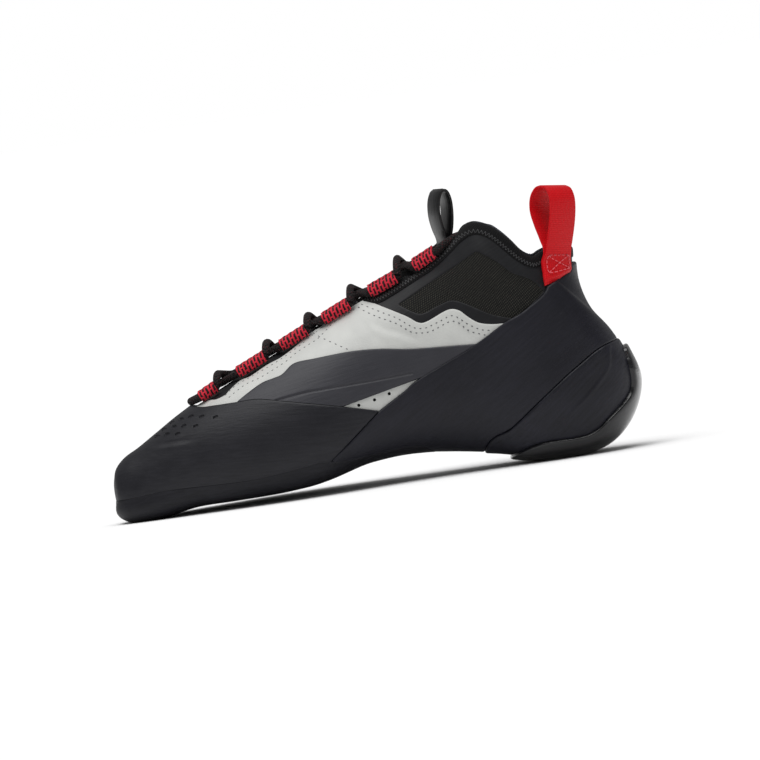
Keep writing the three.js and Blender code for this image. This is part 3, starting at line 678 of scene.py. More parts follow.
# Smooth from a polished mould, so the floor and the room mirror in it.
gloss_rubber = rubber_tree("moulded_gloss_rubber", "#07070a", "#101014", 0.16, 0.5)
heel_piece_distance = side_view(HEEL_PIECE, SEAT + HEEL_SIDE)
panel = Panel(*FINE, {"edge": heel_piece_distance})
panel.split("edge", 0, 0.15, 0.5, 1.0, 1.8).keep("edge", 0)
turned = ease(np.hypot(*panel.normals()[:, [0, 2]].T))
thickness = HEEL_SIDE + (HEEL_SOLE - HEEL_SIDE) * turned
heel_piece = panel.body("heel_piece", SEAT, SEAT + thickness * rounded(panel.far["edge"], 1.2, 0.8),
                        gloss_rubber, lowest=0)
settle(heel_piece, "gloss_rubber", "sole_heel")

# Toe rand
# A 1.5 mm sheet of rubber wrapped round the toes and up over them as a hooking patch, with rows
# of pressed dashes, cemented over the leather and ground thin at its edge.
RAND = 1.5
TOE_RAND = outline(
    [(-30, 74), (20, 74)],
    [(20, 74), (23.5, 54), (26.5, 49.4), (31, 48.2), (37, 48.2), (47.2, 48.3), (56.8, 48.2), (69.6, 45.3),
     (94, 39.1), (110.6, 34.3)],
    [(110.6, 34.3), (86, 14.9)],
    [(86, 14.9), (80.6, -6)],
    [(80.6, -6), (-30, -6)],
)
# Calendered sheet: matt blue-black with faint streaks the way the sheet was pulled.
toe_rubber = rubber_tree("wrapped_sheet_rubber", "#17171c", "#242429", 0.44, 0.0, lean=-3)
toe_rand_distance = side_view(TOE_RAND, SEAT + RAND)

DASHES = [(172, 422.5), (181, 419.2), (191, 416), (202, 415.8), (216, 416), (164, 429.4), (174, 426.5),
          (184, 425.3), (196, 425.2), (156.7, 436.4), (167, 433.8), (178, 433)]
DASH_LONG = 2.2
DASH_WIDE = 0.9


def dash_distance(points, normals):
    """Distance outside the nearest pressed dash, on both sides of the toe."""
    spots = (points + normals * (SEAT + RAND))[:, [0, 2]]
    nearest = np.full(len(spots), np.inf)
    lean = np.array([math.cos(math.radians(14)), math.sin(math.radians(14))])
    for x, z in [from_pixel(pixel) for pixel in DASHES]:
        half = lean * (DASH_LONG - DASH_WIDE) / 2
        nearest = np.minimum(nearest, line_distance(spots, np.array([(x, z) - half, (x, z) + half])))
    return nearest - DASH_WIDE / 2


FOLD = [from_pixel((149, 448.5)), from_pixel((197, 439))]  # where the patch is pulled in over the toes

panel = Panel(*FINE, {"edge": toe_rand_distance, "sole": outside(front_sole_distance), "dash": dash_distance})
panel.keep("edge", -3).keep("sole", -3)
panel.split("edge", 0).keep("edge", 0).split("sole", 0).keep("sole", 0)
panel.split("edge", 0.15, 0.5, 1.1)
panel.refine("dash", -1, 1.2).refine("dash", -1, 0.7).split("dash", 0, 0.25)
spots = panel.side_spots(SEAT + RAND)
depth = SEAT + RAND * rounded(panel.far["edge"], 1.0, 0.3)
depth -= 0.7 * (1 - ease(panel.far["dash"] / 0.25))
depth += 0.3 * crease(spots, *FOLD, 1.0)
toe_rand = panel.body("toe_rand", SEAT, depth, toe_rubber)
settle(toe_rand, "rand_rubber", "rand_toe")

# Heel sling and heel cup
# The sling is a tensioned rubber band from under the arch round the back of the heel. Below it
# the cup is a thicker moulded shell with a raised rib.
CUP = 2.1
CUP_LINE = [(250, 50.4), (219.2, 49.2), (201.4, 40.5), (183.4, 28.2), (168.6, 17.5), (155.8, 9.9), (152, -16)]
SLING_FRONT = [(110.6, 34.3), (123, 41.3), (130.2, 45.8), (155.6, 56.6), (171.6, 65.1), (180, 68.5),
               (189, 73.6)]
SLING_TOP = [(193.8, 78.7), (205.2, 83.9), (208.4, 87), (250, 91)]
SLING = outline(
    [(86, 14.9), (110.6, 34.3)],
    SLING_FRONT + [(192.6, 76.6), (193.8, 78.7)],
    SLING_TOP,
    [(250, 91), (250, 50)],
    CUP_LINE,
    [(152, -16), (86, -16)],
)
HEEL_CUP = outline(CUP_LINE[::-1], [(250, 50.4), (250, -16)], [(250, -16), (152, -16)])

# The same sheet under tension: its streaks run up towards the back of the heel.
sling_rubber = rubber_tree("tensioned_sheet_rubber", "#13131a", "#1f1f28", 0.42, 0.0, lean=31)
sling_distance = side_view(SLING, SEAT + RAND)
panel = Panel(*FINE, {"edge": sling_distance, "sole": outside(front_sole_distance),
                      "heel": outside(heel_piece_distance)})
panel.keep("edge", -3).split("edge", 0).keep("edge", 0)
panel.split("sole", 0).keep("sole", 0).split("heel", 0).keep("heel", 0)
panel.split("edge", 0.15, 0.5, 1.1)
heel_sling = panel.body("heel_sling", SEAT, SEAT + RAND * rounded(panel.far["edge"], 1.0, 0.35), sling_rubber)
settle(heel_sling, "rand_rubber", "rand_heel")

CUP_RIB = curve([(217.5, 47.4), (216.8, 46.1), (216.4, 42), (215, 37.4), (207.2, 29.1), (197, 21.3),
                 (190, 16)])


def rib_distance(points, normals):
    return line_distance((points + normals * (SEAT + CUP))[:, [0, 2]], CUP_RIB)


# Moulded shell: the same rubber as the sling, a shade lighter in patches spread at random.
cup_rubber = rubber_tree("moulded_cup_rubber", "#0e0e14", "#20202a", 0.4, 0.0, lean=38)
panel = Panel(*FINE, {"edge": side_view(HEEL_CUP, SEAT + RAND), "heel": outside(heel_piece_distance),
                      "rib": rib_distance})
panel.keep("edge", -3).split("edge", 0).keep("edge", 0).split("heel", 0).keep("heel", 0)
panel.split("edge", 0.15, 0.5, 1.1).refine("rib", -1, 2).split("rib", 0.3, 0.9)
depth = SEAT + CUP * rounded(panel.far["edge"], 1.2, 0.6)
depth += 0.3 * (1 - ease(panel.far["rib"] / 1.4))
heel_cup = panel.body("heel_cup_shell", SEAT, depth, cup_rubber)
settle(heel_cup, "rand_rubber", "heel_cup")

# Side bands
# A grey film welded over the leather between the rands, on both sides, with a pressed groove
# along its middle. The film is smooth and a little lighter than the rubber.
WING = 1.0
SIDE_BAND = outline(
    [(45, 44), (47.2, 48.3)],
    [(47.2, 48.3), (53.5, 52), (59.8, 55.1), (64.5, 56.2), (69.2, 57.5), (75.2, 61.5), (84.6, 62.3),
     (101.2, 63), (114.8, 62.1), (129.2, 59.8), (151.8, 58.1), (162, 57.4)],
    [(162, 57.4), (144, 48)],
    [(144, 48), (130.2, 45.8)],
    [(130.2, 45.8), (94.6, 38.8)],
    [(94.6, 38.8), (69.6, 42)],
    [(69.6, 42), (45, 44)],
)
BAND_GROOVE = curve([(64.8, 45.9), (75, 47.2), (85.2, 47.8), (109.5, 48.2), (127.4, 48.8)])


def groove_distance(points, normals):
    return line_distance((points + normals * (SEAT + WING))[:, [0, 2]], BAND_GROOVE)


def rubber_seam(points, normals):
    return -np.maximum(toe_rand_distance(points, normals), sling_distance(points, normals))


# A satin film: smoother and a shade lighter than the rubber beside it.
satin_film = rubber_tree("welded_satin_film", "#313136", "#3a3a3f", 0.42, 0.0, lean=8)
for side, way in (("medial", -1), ("lateral", 1)):
    panel = Panel(*FINE, {"side": lambda points, normals, way=way: way * points[:, 1],
                          "edge": side_view(SIDE_BAND, SEAT + WING), "seam": rubber_seam,
                          "groove": groove_distance})
    panel.keep("side", 5).keep("edge", -3).split("edge", 0).keep("edge", 0).split("seam", 0).keep("seam", 0)
    panel.split("edge", 0.12, 0.4, 0.8).refine("groove", -1, 2).refine("groove", -1, 1.4)
    panel.refine("groove", -1, 1.1)
    depth = SEAT + WING * rounded(panel.far["edge"], 0.8, 0.3)
    depth -= 0.5 * (1 - ease(panel.far["groove"]))
    band = panel.body(f"side_band_{side}", SEAT - 0.2, depth, satin_film)
    settle(band, "grey_film", f"wing_{side}")

# Upper
# A stretch sock, lined inside, with white leather quarters sewn over it, a smooth film frame
# round a mesh window, and a soft bound edge at the collar.
WALL = 2.0
FLATTEST = 0.35  # upright share of the surface, below which its slope no longer counts
THROAT_FLOOR = 30  # the lacing gap ends above this height
COLLAR = outline(
    [(120, 114), (128, 94.5)],
    [(128, 94.5), (131.5, 92.6), (136, 93.4), (144.2, 98.6), (152.2, 105.2), (157.8, 109.9), (163.8, 112.2),
     (169, 110.9), (175, 106.8), (180.6, 101), (184.8, 95.8), (189, 93), (193.4, 94.5), (201, 96),
     (208, 94.5), (250, 93.5)],
    [(250, 93.5), (250, 190)],
    [(250, 190), (120, 190)],
)


def opening_distance(points, normals):
    """Distance from the edge of the collar and of the lacing gap, over the surface."""
    collar = -inside_distance(points[:, [0, 2]], COLLAR)
    ridge = np.interp(points[:, 0], RIDGE_LINE[:, 0], RIDGE_LINE[:, 1])
    half = throat_half(points[:, 0])
    slope = np.maximum(normals[:, 2], FLATTEST)
    beside = (np.abs(points[:, 1] - ridge) - half) / slope
    ahead = THROAT_START - points[:, 0]
    above = THROAT_FLOOR - points[:, 2]
    throat = np.maximum(np.maximum(beside, ahead), above)
    return np.minimum(collar, np.where(points[:, 0] > THROAT_END, np.inf, throat))


ridge_rows = row_at(np.linspace(0, len(ROWS) - 1, 400))
RIDGE_LINE = ridge_rows[:, [2, 6]]

LEATHER = outline(
    [(-60, 49), (28.9, 49)],
    [(28.9, 49), (34.7, 50.2), (37.9, 50.2), (42.2, 51.6), (44.3, 53.3), (49.9, 57), (54.7, 58.2), (62.6, 62),
     (69.8, 64.6), (77.3, 68.7), (83.4, 72.8), (89.6, 76.9), (97, 81.4), (104.8, 85.6), (110.9, 84.7),
     (118.1, 80.8), (128.7, 74.6), (133.6, 71), (137.7, 70.9), (147.4, 74.6), (152.4, 73.8), (156, 70.4),
     (160.4, 67), (165.8, 65.5), (171.2, 65), (190, 64)],
    [(190, 64), (260, 60)],
    [(260, 60), (260, -60)],
    [(260, -60), (-60, -60)],
)
WINDOW = outline(
    [(125.9, 80.3), (164.4, 99)],
    [(164.4, 99), (172.7, 92.9), (178.7, 87), (187.1, 82.5), (192, 76.7)],
    [(192, 76.7), (177.8, 66)],
    [(177.8, 66), (167.7, 69.4), (160.5, 73.4), (154.7, 76.9), (149.5, 78.6), (143, 77), (136.9, 74.8),
     (132.9, 75.6), (125.9, 80.3)],
)
SEAM = [(99, 86), (107, 85), (111, 83.6), (116.9, 82.2), (124, 84.6), (130, 87.3), (137, 90.5), (143.7, 93.6),
        (152, 99.3), (158, 104), (163.8, 106.4), (168.5, 105.2), (173, 101.6), (178, 96), (182.5, 91.4),
        (188.5, 87.6), (194, 88.6), (201, 90.3), (208, 89)]
BINDING = outline(
    SEAM,
    [(208, 89), (250, 89)],
    [(250, 89), (250, 190)],
    [(250, 190), (99, 190)],
    [(99, 190), (99, 86)],
)


def cloth_tree(name, colour, light, pitch, roughness, sheen, knit=0.35):
    """Knitted or woven cloth with threads at a pitch in millimetres. Its colour follows the thread height:
    painted shade between the threads and a painted highlight on their crowns, except in the open mesh, whose
    dark is the black under its holes.
    """
    made, tree = material_tree(name)
    flat = add_node(tree, "UVMap", {"uv_map": "cloth"})
    place = add_node(tree, "TexCoord")
    wave = {"wave_type": "BANDS", "wave_profile": "SIN", "Scale": 2 * math.pi / pitch / 20, "Distortion": 0.0}
    warp = add_node(tree, "TexWave", {**wave, "bands_direction": "X"}, {"Vector": flat})
    weft = add_node(tree, "TexWave", {**wave, "bands_direction": "Y"}, {"Vector": flat})
    height = add_node(tree, "Math", {"operation": "MULTIPLY"},
                      {0: warp.outputs["Fac"], 1: weft.outputs["Fac"]})
    fuzz = add_node(tree, "TexNoise", {"Scale": 900, "Detail": 4},
                    {"Vector": place.outputs["Object"]})
    # The thread height, broken up by fuzz, sets the colour: painted shade in the gaps, painted highlight on
    # the crowns.
    painted_crown_light = add_node(tree, "Math", {"operation": "MULTIPLY"},
                      {0: height, 1: fuzz.outputs["Fac"]})
    ramp = add_node(tree, "ValToRGB", links={"Fac": painted_crown_light})
    ramp.color_ramp.elements[0].position = 0.02
    ramp.color_ramp.elements[0].color = linear(colour)
    ramp.color_ramp.elements[1].position = 0.5
    ramp.color_ramp.elements[1].color = linear(light)
    bump = add_node(tree, "Bump", {"Strength": knit, "Distance": 0.0004},
                    {"Height": height})
    shader = add_node(tree, "BsdfPrincipled",
                      {"Roughness": roughness, "Sheen Weight": sheen, "Sheen Roughness": 0.4, "IOR": 1.45,
                       "Specular IOR Level": 0.25},
                      {"Base Color": ramp, "Normal": bump})
    add_node(tree, "OutputMaterial", links={"Surface": shader})
    return made


# Brushed lining: soft blue-grey, all nap and no shine. Its darker blue-grey is painted shade between the
# threads, its lighter one a painted highlight on their crowns.
lining_cloth = cloth_tree("brushed_lining_cloth", "#3c4048", "#666b78", 1.1, 0.9, 0.1)
# Stretch knit: flat black with a fine rib, painted a little lighter on the rib's crowns as a highlight and
# darker between them as shade.
sock_knit = cloth_tree("black_stretch_knit", "#060607", "#151517", 1.0, 0.85, 0.03)
# Open mesh: thin grey-yellow threads over black. Its real pitch is half of this one.
mesh_cloth = cloth_tree("open_window_mesh", "#030303", "#3b3a33", 1.1, 0.7, 0.02, knit=0.8)
# Soft knit folded over the edge: black with a coarse rib; its crowns are painted lighter as a highlight, its
# gaps darker as shade.
binding_knit = cloth_tree("soft_binding_knit", "#050506", "#1a191b", 1.0, 0.85, 0.04, knit=0.6)

panel = Panel(*MEDIUM, {"open": opening_distance})
panel.split("open", 0).keep("open", 0)
lining = panel.body("lining", -WALL, -1.3, lining_cloth)
settle(lining, "insole_fabric", "upper")
sock = panel.body("sock", -1.25, -0.5, sock_knit)
settle(sock, "black_textile", "upper")


def leather_tree():
    """White split leather with a thin smooth coating: fine grain, soft mottling, satin."""
    made, tree = material_tree("coated_white_leather")
    place = add_node(tree, "TexCoord")
    cells = add_node(tree, "TexVoronoi", {"Scale": 1500}, {"Vector": place.outputs["Object"]})
    clouds = add_node(tree, "TexNoise", {"Scale": 60, "Detail": 5},
                      {"Vector": place.outputs["Object"]})
    ramp = add_node(tree, "ValToRGB", links={"Fac": clouds.outputs["Fac"]})
    ramp.color_ramp.elements[0].position = 0.3
    ramp.color_ramp.elements[0].color = linear("#bdbebb")
    ramp.color_ramp.elements[1].position = 0.75
    ramp.color_ramp.elements[1].color = linear("#cbccc8")
    bump = add_node(tree, "Bump", {"Strength": 0.25, "Distance": 0.0002},
                    {"Height": cells.outputs["Distance"]})
    shader = add_node(tree, "BsdfPrincipled",
                      {"Roughness": 0.5, "IOR": 1.5, "Specular IOR Level": 0.4},
                      {"Base Color": ramp, "Normal": bump})
    add_node(tree, "OutputMaterial", links={"Surface": shader})
    return made


# Coated leather: chalk white, barely glossy, so its folds show as soft shade.
white_leather = leather_tree()
# Smooth welded film: satin black with no grain.
smooth_film = rubber_tree("smooth_black_film", "#0d0d10", "#17181b", 0.5, 0.0, lean=25)

leather_distance = side_view(LEATHER, 0.2)
binding_distance = side_view(BINDING, 0.4)
PINHOLES = [from_pixel(pixel) for pixel in ((359, 403.9), (374.6, 398.6), (389.3, 392.6))]
PINHOLE_RADIUS = 0.75
LEATHER_FOLDS = [
    ((366, 321), (398, 340), 1.5, 0.30),
    ((382, 327), (420, 345), 1.4, 0.34),
    ((398, 331), (424, 344), 1.0, 0.20),
    ((352, 318), (372, 338), 2.2, 0.20),
    ((450, 322), (470, 343), 2.4, 0.30),
]


def pinhole_distance(points, normals):
    """Distance outside the nearest punched pinhole, on both sides."""
    spots = (points + normals * 0.2)[:, [0, 2]]
    return np.min([np.linalg.norm(spots - hole, axis=1) for hole in PINHOLES], axis=0) - PINHOLE_RADIUS


panel = Panel(*FINE, {"open": opening_distance, "edge": leather_distance,
                      "binding": outside(binding_distance), "hole": pinhole_distance})
panel.split("open", 0).keep("open", 0).split("edge", 0).keep("edge", 0)
panel.split("binding", -1).keep("binding", -1)
panel.refine("hole", -1, 1.2).refine("hole", -0.8, 0.6).split("hole", 0).keep("hole", 0)
panel.split("edge", 0.12, 0.4, 0.8)
near_gap = np.minimum(np.minimum(panel.far["edge"], panel.far["open"]), panel.far["hole"] + 0.3)
spots = panel.side_spots(0.2)
depth = -0.4 + 0.65 * rounded(near_gap, 0.8, 0.5)
for start, end, width, height in LEATHER_FOLDS:
    depth += height * crease(spots, from_pixel(start), from_pixel(end), width)
quarters = panel.body("leather_quarters", -0.75, depth, white_leather)
settle(quarters, "white_leather", "upper")


def film_distance(points, normals):
    """Inside the film: above the leather, below the binding and outside the window."""
    spots = (points + normals * 0.2)[:, [0, 2]]
    above = 0.8 - inside_distance(spots, LEATHER)
    below = 0.5 - inside_distance(spots, BINDING)
    return np.minimum(np.minimum(above, below), -inside_distance(spots, WINDOW))


panel = Panel(*FINE, {"edge": film_distance, "open": opening_distance})
panel.split("open", 0).keep("open", 0).split("edge", 0).keep("edge", 0).split("edge", 0.15, 0.5)
film = panel.body("film_frame", -0.48, -0.42 + 0.34 * rounded(panel.far["edge"], 0.6, 0.4), smooth_film)
settle(film, "grey_film", "upper")

panel = Panel(*FINE, {"edge": side_view(WINDOW, 0.0)})
panel.split("edge", -0.4).keep("edge", -0.4)
window = panel.body("mesh_window", -0.5, -0.34, mesh_cloth)
settle(window, "black_textile", "upper")

ROLLED = 1.7  # radius of the binding's rolled edge
panel = Panel(*FINE, {"open": opening_distance, "edge": binding_distance})
panel.keep("edge", -3).split("edge", 0).keep("edge", 0).split("open", 0).keep("open", 0)
panel.split("open", 0.1, 0.4, 0.9, 1.6).split("edge", 0.1, 0.4, 0.9)
nose = np.sqrt(1 - (1 - np.clip(panel.far["open"] / ROLLED, 0, 1)) ** 2)
nose = np.maximum(nose, 0.02)
outer = -0.9 + 0.48 * nose + 1.0 * nose * rounded(panel.far["edge"], 0.9, 0.2)
binding = panel.body("collar_binding", -0.92 - 1.5 * nose, outer, binding_knit)
settle(binding, "black_textile", "upper")

# Stitching
# Thread seams that hold the leather, the binding and the loops. Each stitch is a short bead of
# thread lying on the surface; the leather has a double row and the binding a zigzag.
grid_quads = np.arange(GRID.shape[0] * GRID.shape[1]).reshape(GRID.shape[:2])
grid_quads = [grid_quads[:-1, :-1], grid_quads[1:, :-1], grid_quads[1:, 1:], grid_quads[:-1, 1:]]
grid_quads = np.stack(grid_quads, -1).reshape(-1, 4)
last_tree = BVHTree.FromPolygons(GRID.reshape(-1, 3).tolist(), grid_quads.tolist())
BESIDE = 200  # a place well beside the shoe


def on_last(start, way):
    """Where a ray first meets the last and its outward direction there, or None for a miss."""
    place, normal, _, _ = last_tree.ray_cast(Vector(start), Vector(way))
    if place is None:
        return None
    place, normal = np.array(place), np.array(normal)
    return place, -normal * np.sign(normal @ way)


def side_spot(x, z, side):
    """The place seen at a side-view spot; side is -1 for the big-toe side and 1 for the other."""
    return on_last((x, side * BESIDE, z), (0, -side, 0))


def ring_faces(rings, around):
    """Quads between closed rings of points."""
    index = np.arange(rings * around).reshape(rings, around)
    beside = np.roll(index, -1, 1)
    quads = np.stack([index[:-1], beside[:-1], beside[1:], index[1:]], -1)
    return quads.reshape(-1, 4)


BEAD_SIDES = 6
BEAD_RINGS = [(-1, 0.45), (-0.7, 1.0), (0.7, 1.0), (1, 0.45)]


def thread_piece(name, ends, radius, finish):
    """Short beads of thread, each between two points, as one mesh."""
    points, faces = [], []
    angle = np.linspace(0, 2 * np.pi, BEAD_SIDES, endpoint=False)
    for start, end, normal in ends:
        middle, half = (start + end) / 2, (end - start) / 2
        side = np.cross(half, normal)
        side /= np.linalg.norm(side)
        base = len(points)
        for along, wide in BEAD_RINGS:
            ring = np.cos(angle)[:, None] * side + np.sin(angle)[:, None] * normal
            points.extend(middle + half * along + ring * radius * wide)
        quads = ring_faces(len(BEAD_RINGS), BEAD_SIDES)[:, ::-1] + base
        faces.extend(map(tuple, np.concatenate([quads[:, [0, 1, 2]], quads[:, [0, 2, 3]]])))
        last = base + (len(BEAD_RINGS) - 1) * BEAD_SIDES
        faces.extend((base, base + k, base + k + 1) for k in range(1, BEAD_SIDES - 1))
        faces.extend((last, last + k + 1, last + k) for k in range(1, BEAD_SIDES - 1))
    return add_mesh(name, points, faces, finish)


def thread_tree(name, colour):
    """Twisted polyester thread: plain colour with a slight silky gloss."""
    made, tree = material_tree(name)
    shader = add_node(tree, "BsdfPrincipled",
                      {"Base Color": linear(colour), "Roughness": 0.55, "Sheen Weight": 0.1, "IOR": 1.5})
    add_node(tree, "OutputMaterial", links={"Surface": shader})
    return made


LEATHER_ROWS = [
    [(494, 329.5), (483, 329), (477, 327.5), (466, 322.5), (461, 319), (456, 316), (452, 315), (448, 316),
     (441, 320), (433, 324), (425, 327.5), (415, 327.5), (406, 323), (396, 317.5), (385, 313.5), (370, 308),
     (357, 303)],
    [(357, 303), (347, 309.5), (338, 315.5), (330, 320.5), (322, 328), (313, 335.5), (302, 344.5), (292, 352),
     (279, 361), (264, 370), (250, 378), (236, 386), (226, 395)],
    [(490, 334.5), (482, 333.5), (476, 332), (470, 330.5), (465, 327.5), (459, 322.5), (453, 320.5),
     (447, 322), (439, 326.5), (430, 331), (420, 332.5), (410, 331), (400, 325), (389, 320.5), (378, 317),
     (364, 311), (359, 308)],
    [(359, 308), (350, 313), (341, 319), (333, 324), (327, 330), (318, 339), (308, 345.5), (296, 353.5),
     (287, 361), (275, 369), (260, 378), (247, 384), (236, 392), (230, 397)],
    [(314, 334), (322, 338), (335, 343.5), (347, 348.5)],
]
STITCH = 2.5
STITCH_LONG = 0.85
THREAD_LIFT = 0.2  # the leather's face over the last
thread_ends = []
for row in LEATHER_ROWS:
    line = curve([from_pixel(pixel) for pixel in row])
    for side in (-1, 1):
        for x, z in spaced(line, int(lengths_along(line)[-1] / STITCH) + 1):
            k = np.argmin(np.hypot(line[:, 0] - x, line[:, 1] - z))
            ahead = line[min(k + 1, len(line) - 1)] - line[max(k - 1, 0)]
            ahead = ahead / np.linalg.norm(ahead) * STITCH_LONG / 2
            start, normal = side_spot(x - ahead[0], z - ahead[1], side)
            end, _ = side_spot(x + ahead[0], z + ahead[1], side)
            thread_ends.append((start + normal * THREAD_LIFT, end + normal * THREAD_LIFT, normal))
# Thread beads in dark grey: the grey is painted shade of the stitch holes, so the rows read as fine dashes on
# the white.
seam_thread = thread_piece("leather_stitching", thread_ends, 0.24, thread_tree("hole_shade_seam_thread", "#4c4d50"))
settle(seam_thread, "black_textile", "upper")

ZIGZAG = 1.5
ZIGZAG_LOW = 0.5
ZIGZAG_HIGH = 2.2
ZIGZAG_LIFT = 0.62  # the binding's face over the last
SEAM_END = 203  # past this place along the shoe the binding turns round the back
seam_line = curve(SEAM[1:])
seam_line = seam_line[seam_line[:, 0] < SEAM_END]
seam_line = spaced(seam_line, int(lengths_along(seam_line)[-1] / (ZIGZAG / 2)))
ahead = np.gradient(seam_line, axis=0)
ahead /= np.linalg.norm(ahead, axis=1, keepdims=True)
lift = np.where(np.arange(len(seam_line)) % 2 == 0, ZIGZAG_LOW, ZIGZAG_HIGH)
seam_line = seam_line + np.stack([-ahead[:, 1], ahead[:, 0]], 1) * lift[:, None]
thread_ends = []
for side in (-1, 1):
    met = [side_spot(x, z, side) for x, z in seam_line]
    met = [spot for spot in met if spot is not None]
    spots = [place + normal * ZIGZAG_LIFT for place, normal in met]
    near = [np.linalg.norm(a - b) < 3 * ZIGZAG for a, b in zip(spots[:-1], spots[1:])]
    thread_ends += [(spots[k], spots[k + 1], met[k][1]) for k in np.flatnonzero(near)]
# Grey thread on black knit: just light enough to show its teeth.
zigzag = thread_piece("binding_stitching", thread_ends, 0.14, thread_tree("light_zigzag_thread", "#343436"))
settle(zigzag, "black_textile", "upper")

# Insole and tongue
# The insole is brushed cloth on thin board. The tongue is a padded knit tab under the lacing,
# sewn in at the toe end and free at its top.
INSOLE = 1.2
TONGUE = 1.8
TONGUE_LAP = 7
INSOLE_TOP = 24  # the insole lies below this height
INSOLE_MARGIN = 5


def floor_distance(points, normals):
    """Inside the foot's bed, by rows of place along and its two edges across."""
    plan = np.array([(8, -7.5, 9.1), (30, -15.8, 24.1), (60, -22, 34), (90, -19.5, 34.9), (120, -10.8, 24.1),
                     (150, -10.8, 17.8), (180, -13.7, 14.9), (203, -10, 10.4)])
    ring = np.concatenate([plan[:, [0, 1]], plan[::-1][:, [0, 2]]])
    low = INSOLE_TOP - points[:, 2]
    return np.minimum(inside_distance(points[:, :2], ring) + INSOLE_MARGIN, low)


# Brushed cloth on board: dark grey and dull, with a painted highlight on the threads' crowns and painted
# shade between them.
insole_cloth = cloth_tree("brushed_insole_cloth", "#2b2b2f", "#4a4a50", 1.2, 0.95, 0.3)
panel = Panel(*MEDIUM, {"edge": floor_distance})
panel.split("edge", 0).keep("edge", 0)
insole = panel.body("insole_board", -WALL - 0.3 - INSOLE, -WALL - 0.3, insole_cloth)
settle(insole, "insole_fabric", "insole")

TONGUE_TOE = 18  # where the tongue is sewn in
TONGUE_TOP = outline(
    [(148, 130), (150.5, 115), (154, 110)],
    [(154, 110), (166, 96)],
    [(166, 96), (260, 74)],
    [(260, 74), (260, 190)],
    [(260, 190), (148, 190)],
)


def ridge_offset(points, normals):
    """Distance from the middle of the lacing gap, as a share of half its width."""
    ridge = np.interp(points[:, 0], RIDGE_LINE[:, 0], RIDGE_LINE[:, 1])
    return np.abs(points[:, 1] - ridge) / throat_half(points[:, 0])


def tongue_distance(points, normals):
    half = throat_half(points[:, 0])
    beside = half + TONGUE_LAP - ridge_offset(points, normals) * half
    ends = np.minimum(points[:, 0] - TONGUE_TOE, -inside_distance(points[:, [0, 2]], TONGUE_TOP))
    return np.minimum(np.minimum(beside, ends), points[:, 2] - THROAT_FLOOR)


# Padded knit: dull black cloth that bulges up between the leather's edges. Its crowns carry a painted
# highlight and its gaps painted shade.
tongue_knit = cloth_tree("padded_tongue_knit", "#060607", "#18181b", 1.1, 0.85, 0.03)
PADDING = 2.3
panel = Panel(*FINE, {"edge": tongue_distance, "middle": ridge_offset})
panel.split("edge", 0).keep("edge", 0).split("edge", 0.2, 0.7, 1.5)
swell = rounded(panel.far["edge"], 2.0, 0.3)
PADDING_RISE = 8  # length over which the padding swells from the toe end
past_toe = ease((panel.points()[:, 0] - THROAT_START) / PADDING_RISE)
bulge = PADDING * np.clip(1 - panel.far["middle"] ** 2, 0, 1) * past_toe
top = -WALL - 0.3
tongue = panel.body("padded_tongue", top - TONGUE / 2 - TONGUE / 2 * swell,
                    top - TONGUE / 2 + TONGUE / 2 * swell + bulge, tongue_knit)
settle(tongue, "black_textile", "tongue")

# Lace tunnels
# Short sleeves of red webbing with dark cross bars, folded over and sewn along both edges of
# the lacing gap. The lace runs through them.
LACE = 3.6
WEBBING = 0.7
LACE_BORE = LACE / 2 + 0.2
TUNNEL_RADIUS = LACE_BORE + WEBBING
TUNNEL_SEAT = 0.3
TUNNELS = [(32, 39.6), (50.4, 63.6), (71.6, 84), (92.4, 105), (115, 128), (137, 147)]


def tunnel_point(along, is_big_toe):
    reach = throat_half(along) + TUNNEL_RADIUS
    return beside_ridge(along, reach, is_big_toe, TUNNEL_RADIUS + TUNNEL_SEAT)


def sweep_frames(points):
    """Directions across and up at each point of a path, with up kept as upright as it can be."""
    ahead = np.gradient(points, axis=0)
    ahead /= np.linalg.norm(ahead, axis=1, keepdims=True)
    side = np.cross([0, 0, 1], ahead)
    side /= np.linalg.norm(side, axis=1, keepdims=True)
    return side, np.cross(ahead, side)


def sweep(points, profile):
    """Rings of a profile's points along a path; the profile may change from ring to ring."""
    side, up = sweep_frames(points)
    profile = np.broadcast_to(profile, (len(points), *np.shape(profile)[-2:]))
    return points[:, None] + side[:, None] * profile[:, :, :1] + up[:, None] * profile[:, :, 1:]


def ladder_tree():
    """Red woven webbing: short dark floats in staggered rows across it, red threads between."""
    made, tree = material_tree("ladder_webbing_weave")
    flat = add_node(tree, "UVMap", {"uv_map": "cloth"})
    turned = add_node(tree, "Mapping", {"Rotation": (0, 0, math.radians(82))},
                      {"Vector": flat})
    wander = add_node(tree, "TexNoise", {"Scale": 0.6, "Detail": 2}, {"Vector": flat})
    moved = add_node(tree, "VectorMath", {"operation": "ADD"},
                     {0: turned, 1: wander.outputs["Color"]})
    floats = add_node(tree, "TexBrick",
                      {"Scale": 1.0, "Mortar Size": 0.5, "Mortar Smooth": 0.4, "Brick Width": 4.2,
                       "Row Height": 1.7, "Color1": linear("#12060a"), "Color2": linear("#24080e"),
                       "Mortar": linear("#cf2438")}, {"Vector": moved})
    bump = add_node(tree, "Bump", {"Strength": 0.7, "Distance": 0.0005},
                    {"Height": floats.outputs["Fac"]})
    shader = add_node(tree, "BsdfPrincipled",
                      {"Roughness": 0.75, "Sheen Weight": 0.05, "IOR": 1.45, "Specular IOR Level": 0.3},
                      {"Base Color": floats.outputs["Color"], "Normal": bump})
    add_node(tree, "OutputMaterial", links={"Surface": shader})
    return made


# Woven webbing: bright red bars stand out from dark gaps, all of it dull.
ladder_webbing = ladder_tree()
SLEEVE_STEPS = 24
SLEEVE_AROUND = 24
PUCKER = 0.04  # share by which the sewn webbing swells and narrows along a sleeve
angle = np.linspace(0, 2 * np.pi, SLEEVE_AROUND, endpoint=False)
circle = np.stack([np.cos(angle), np.sin(angle)], 1)


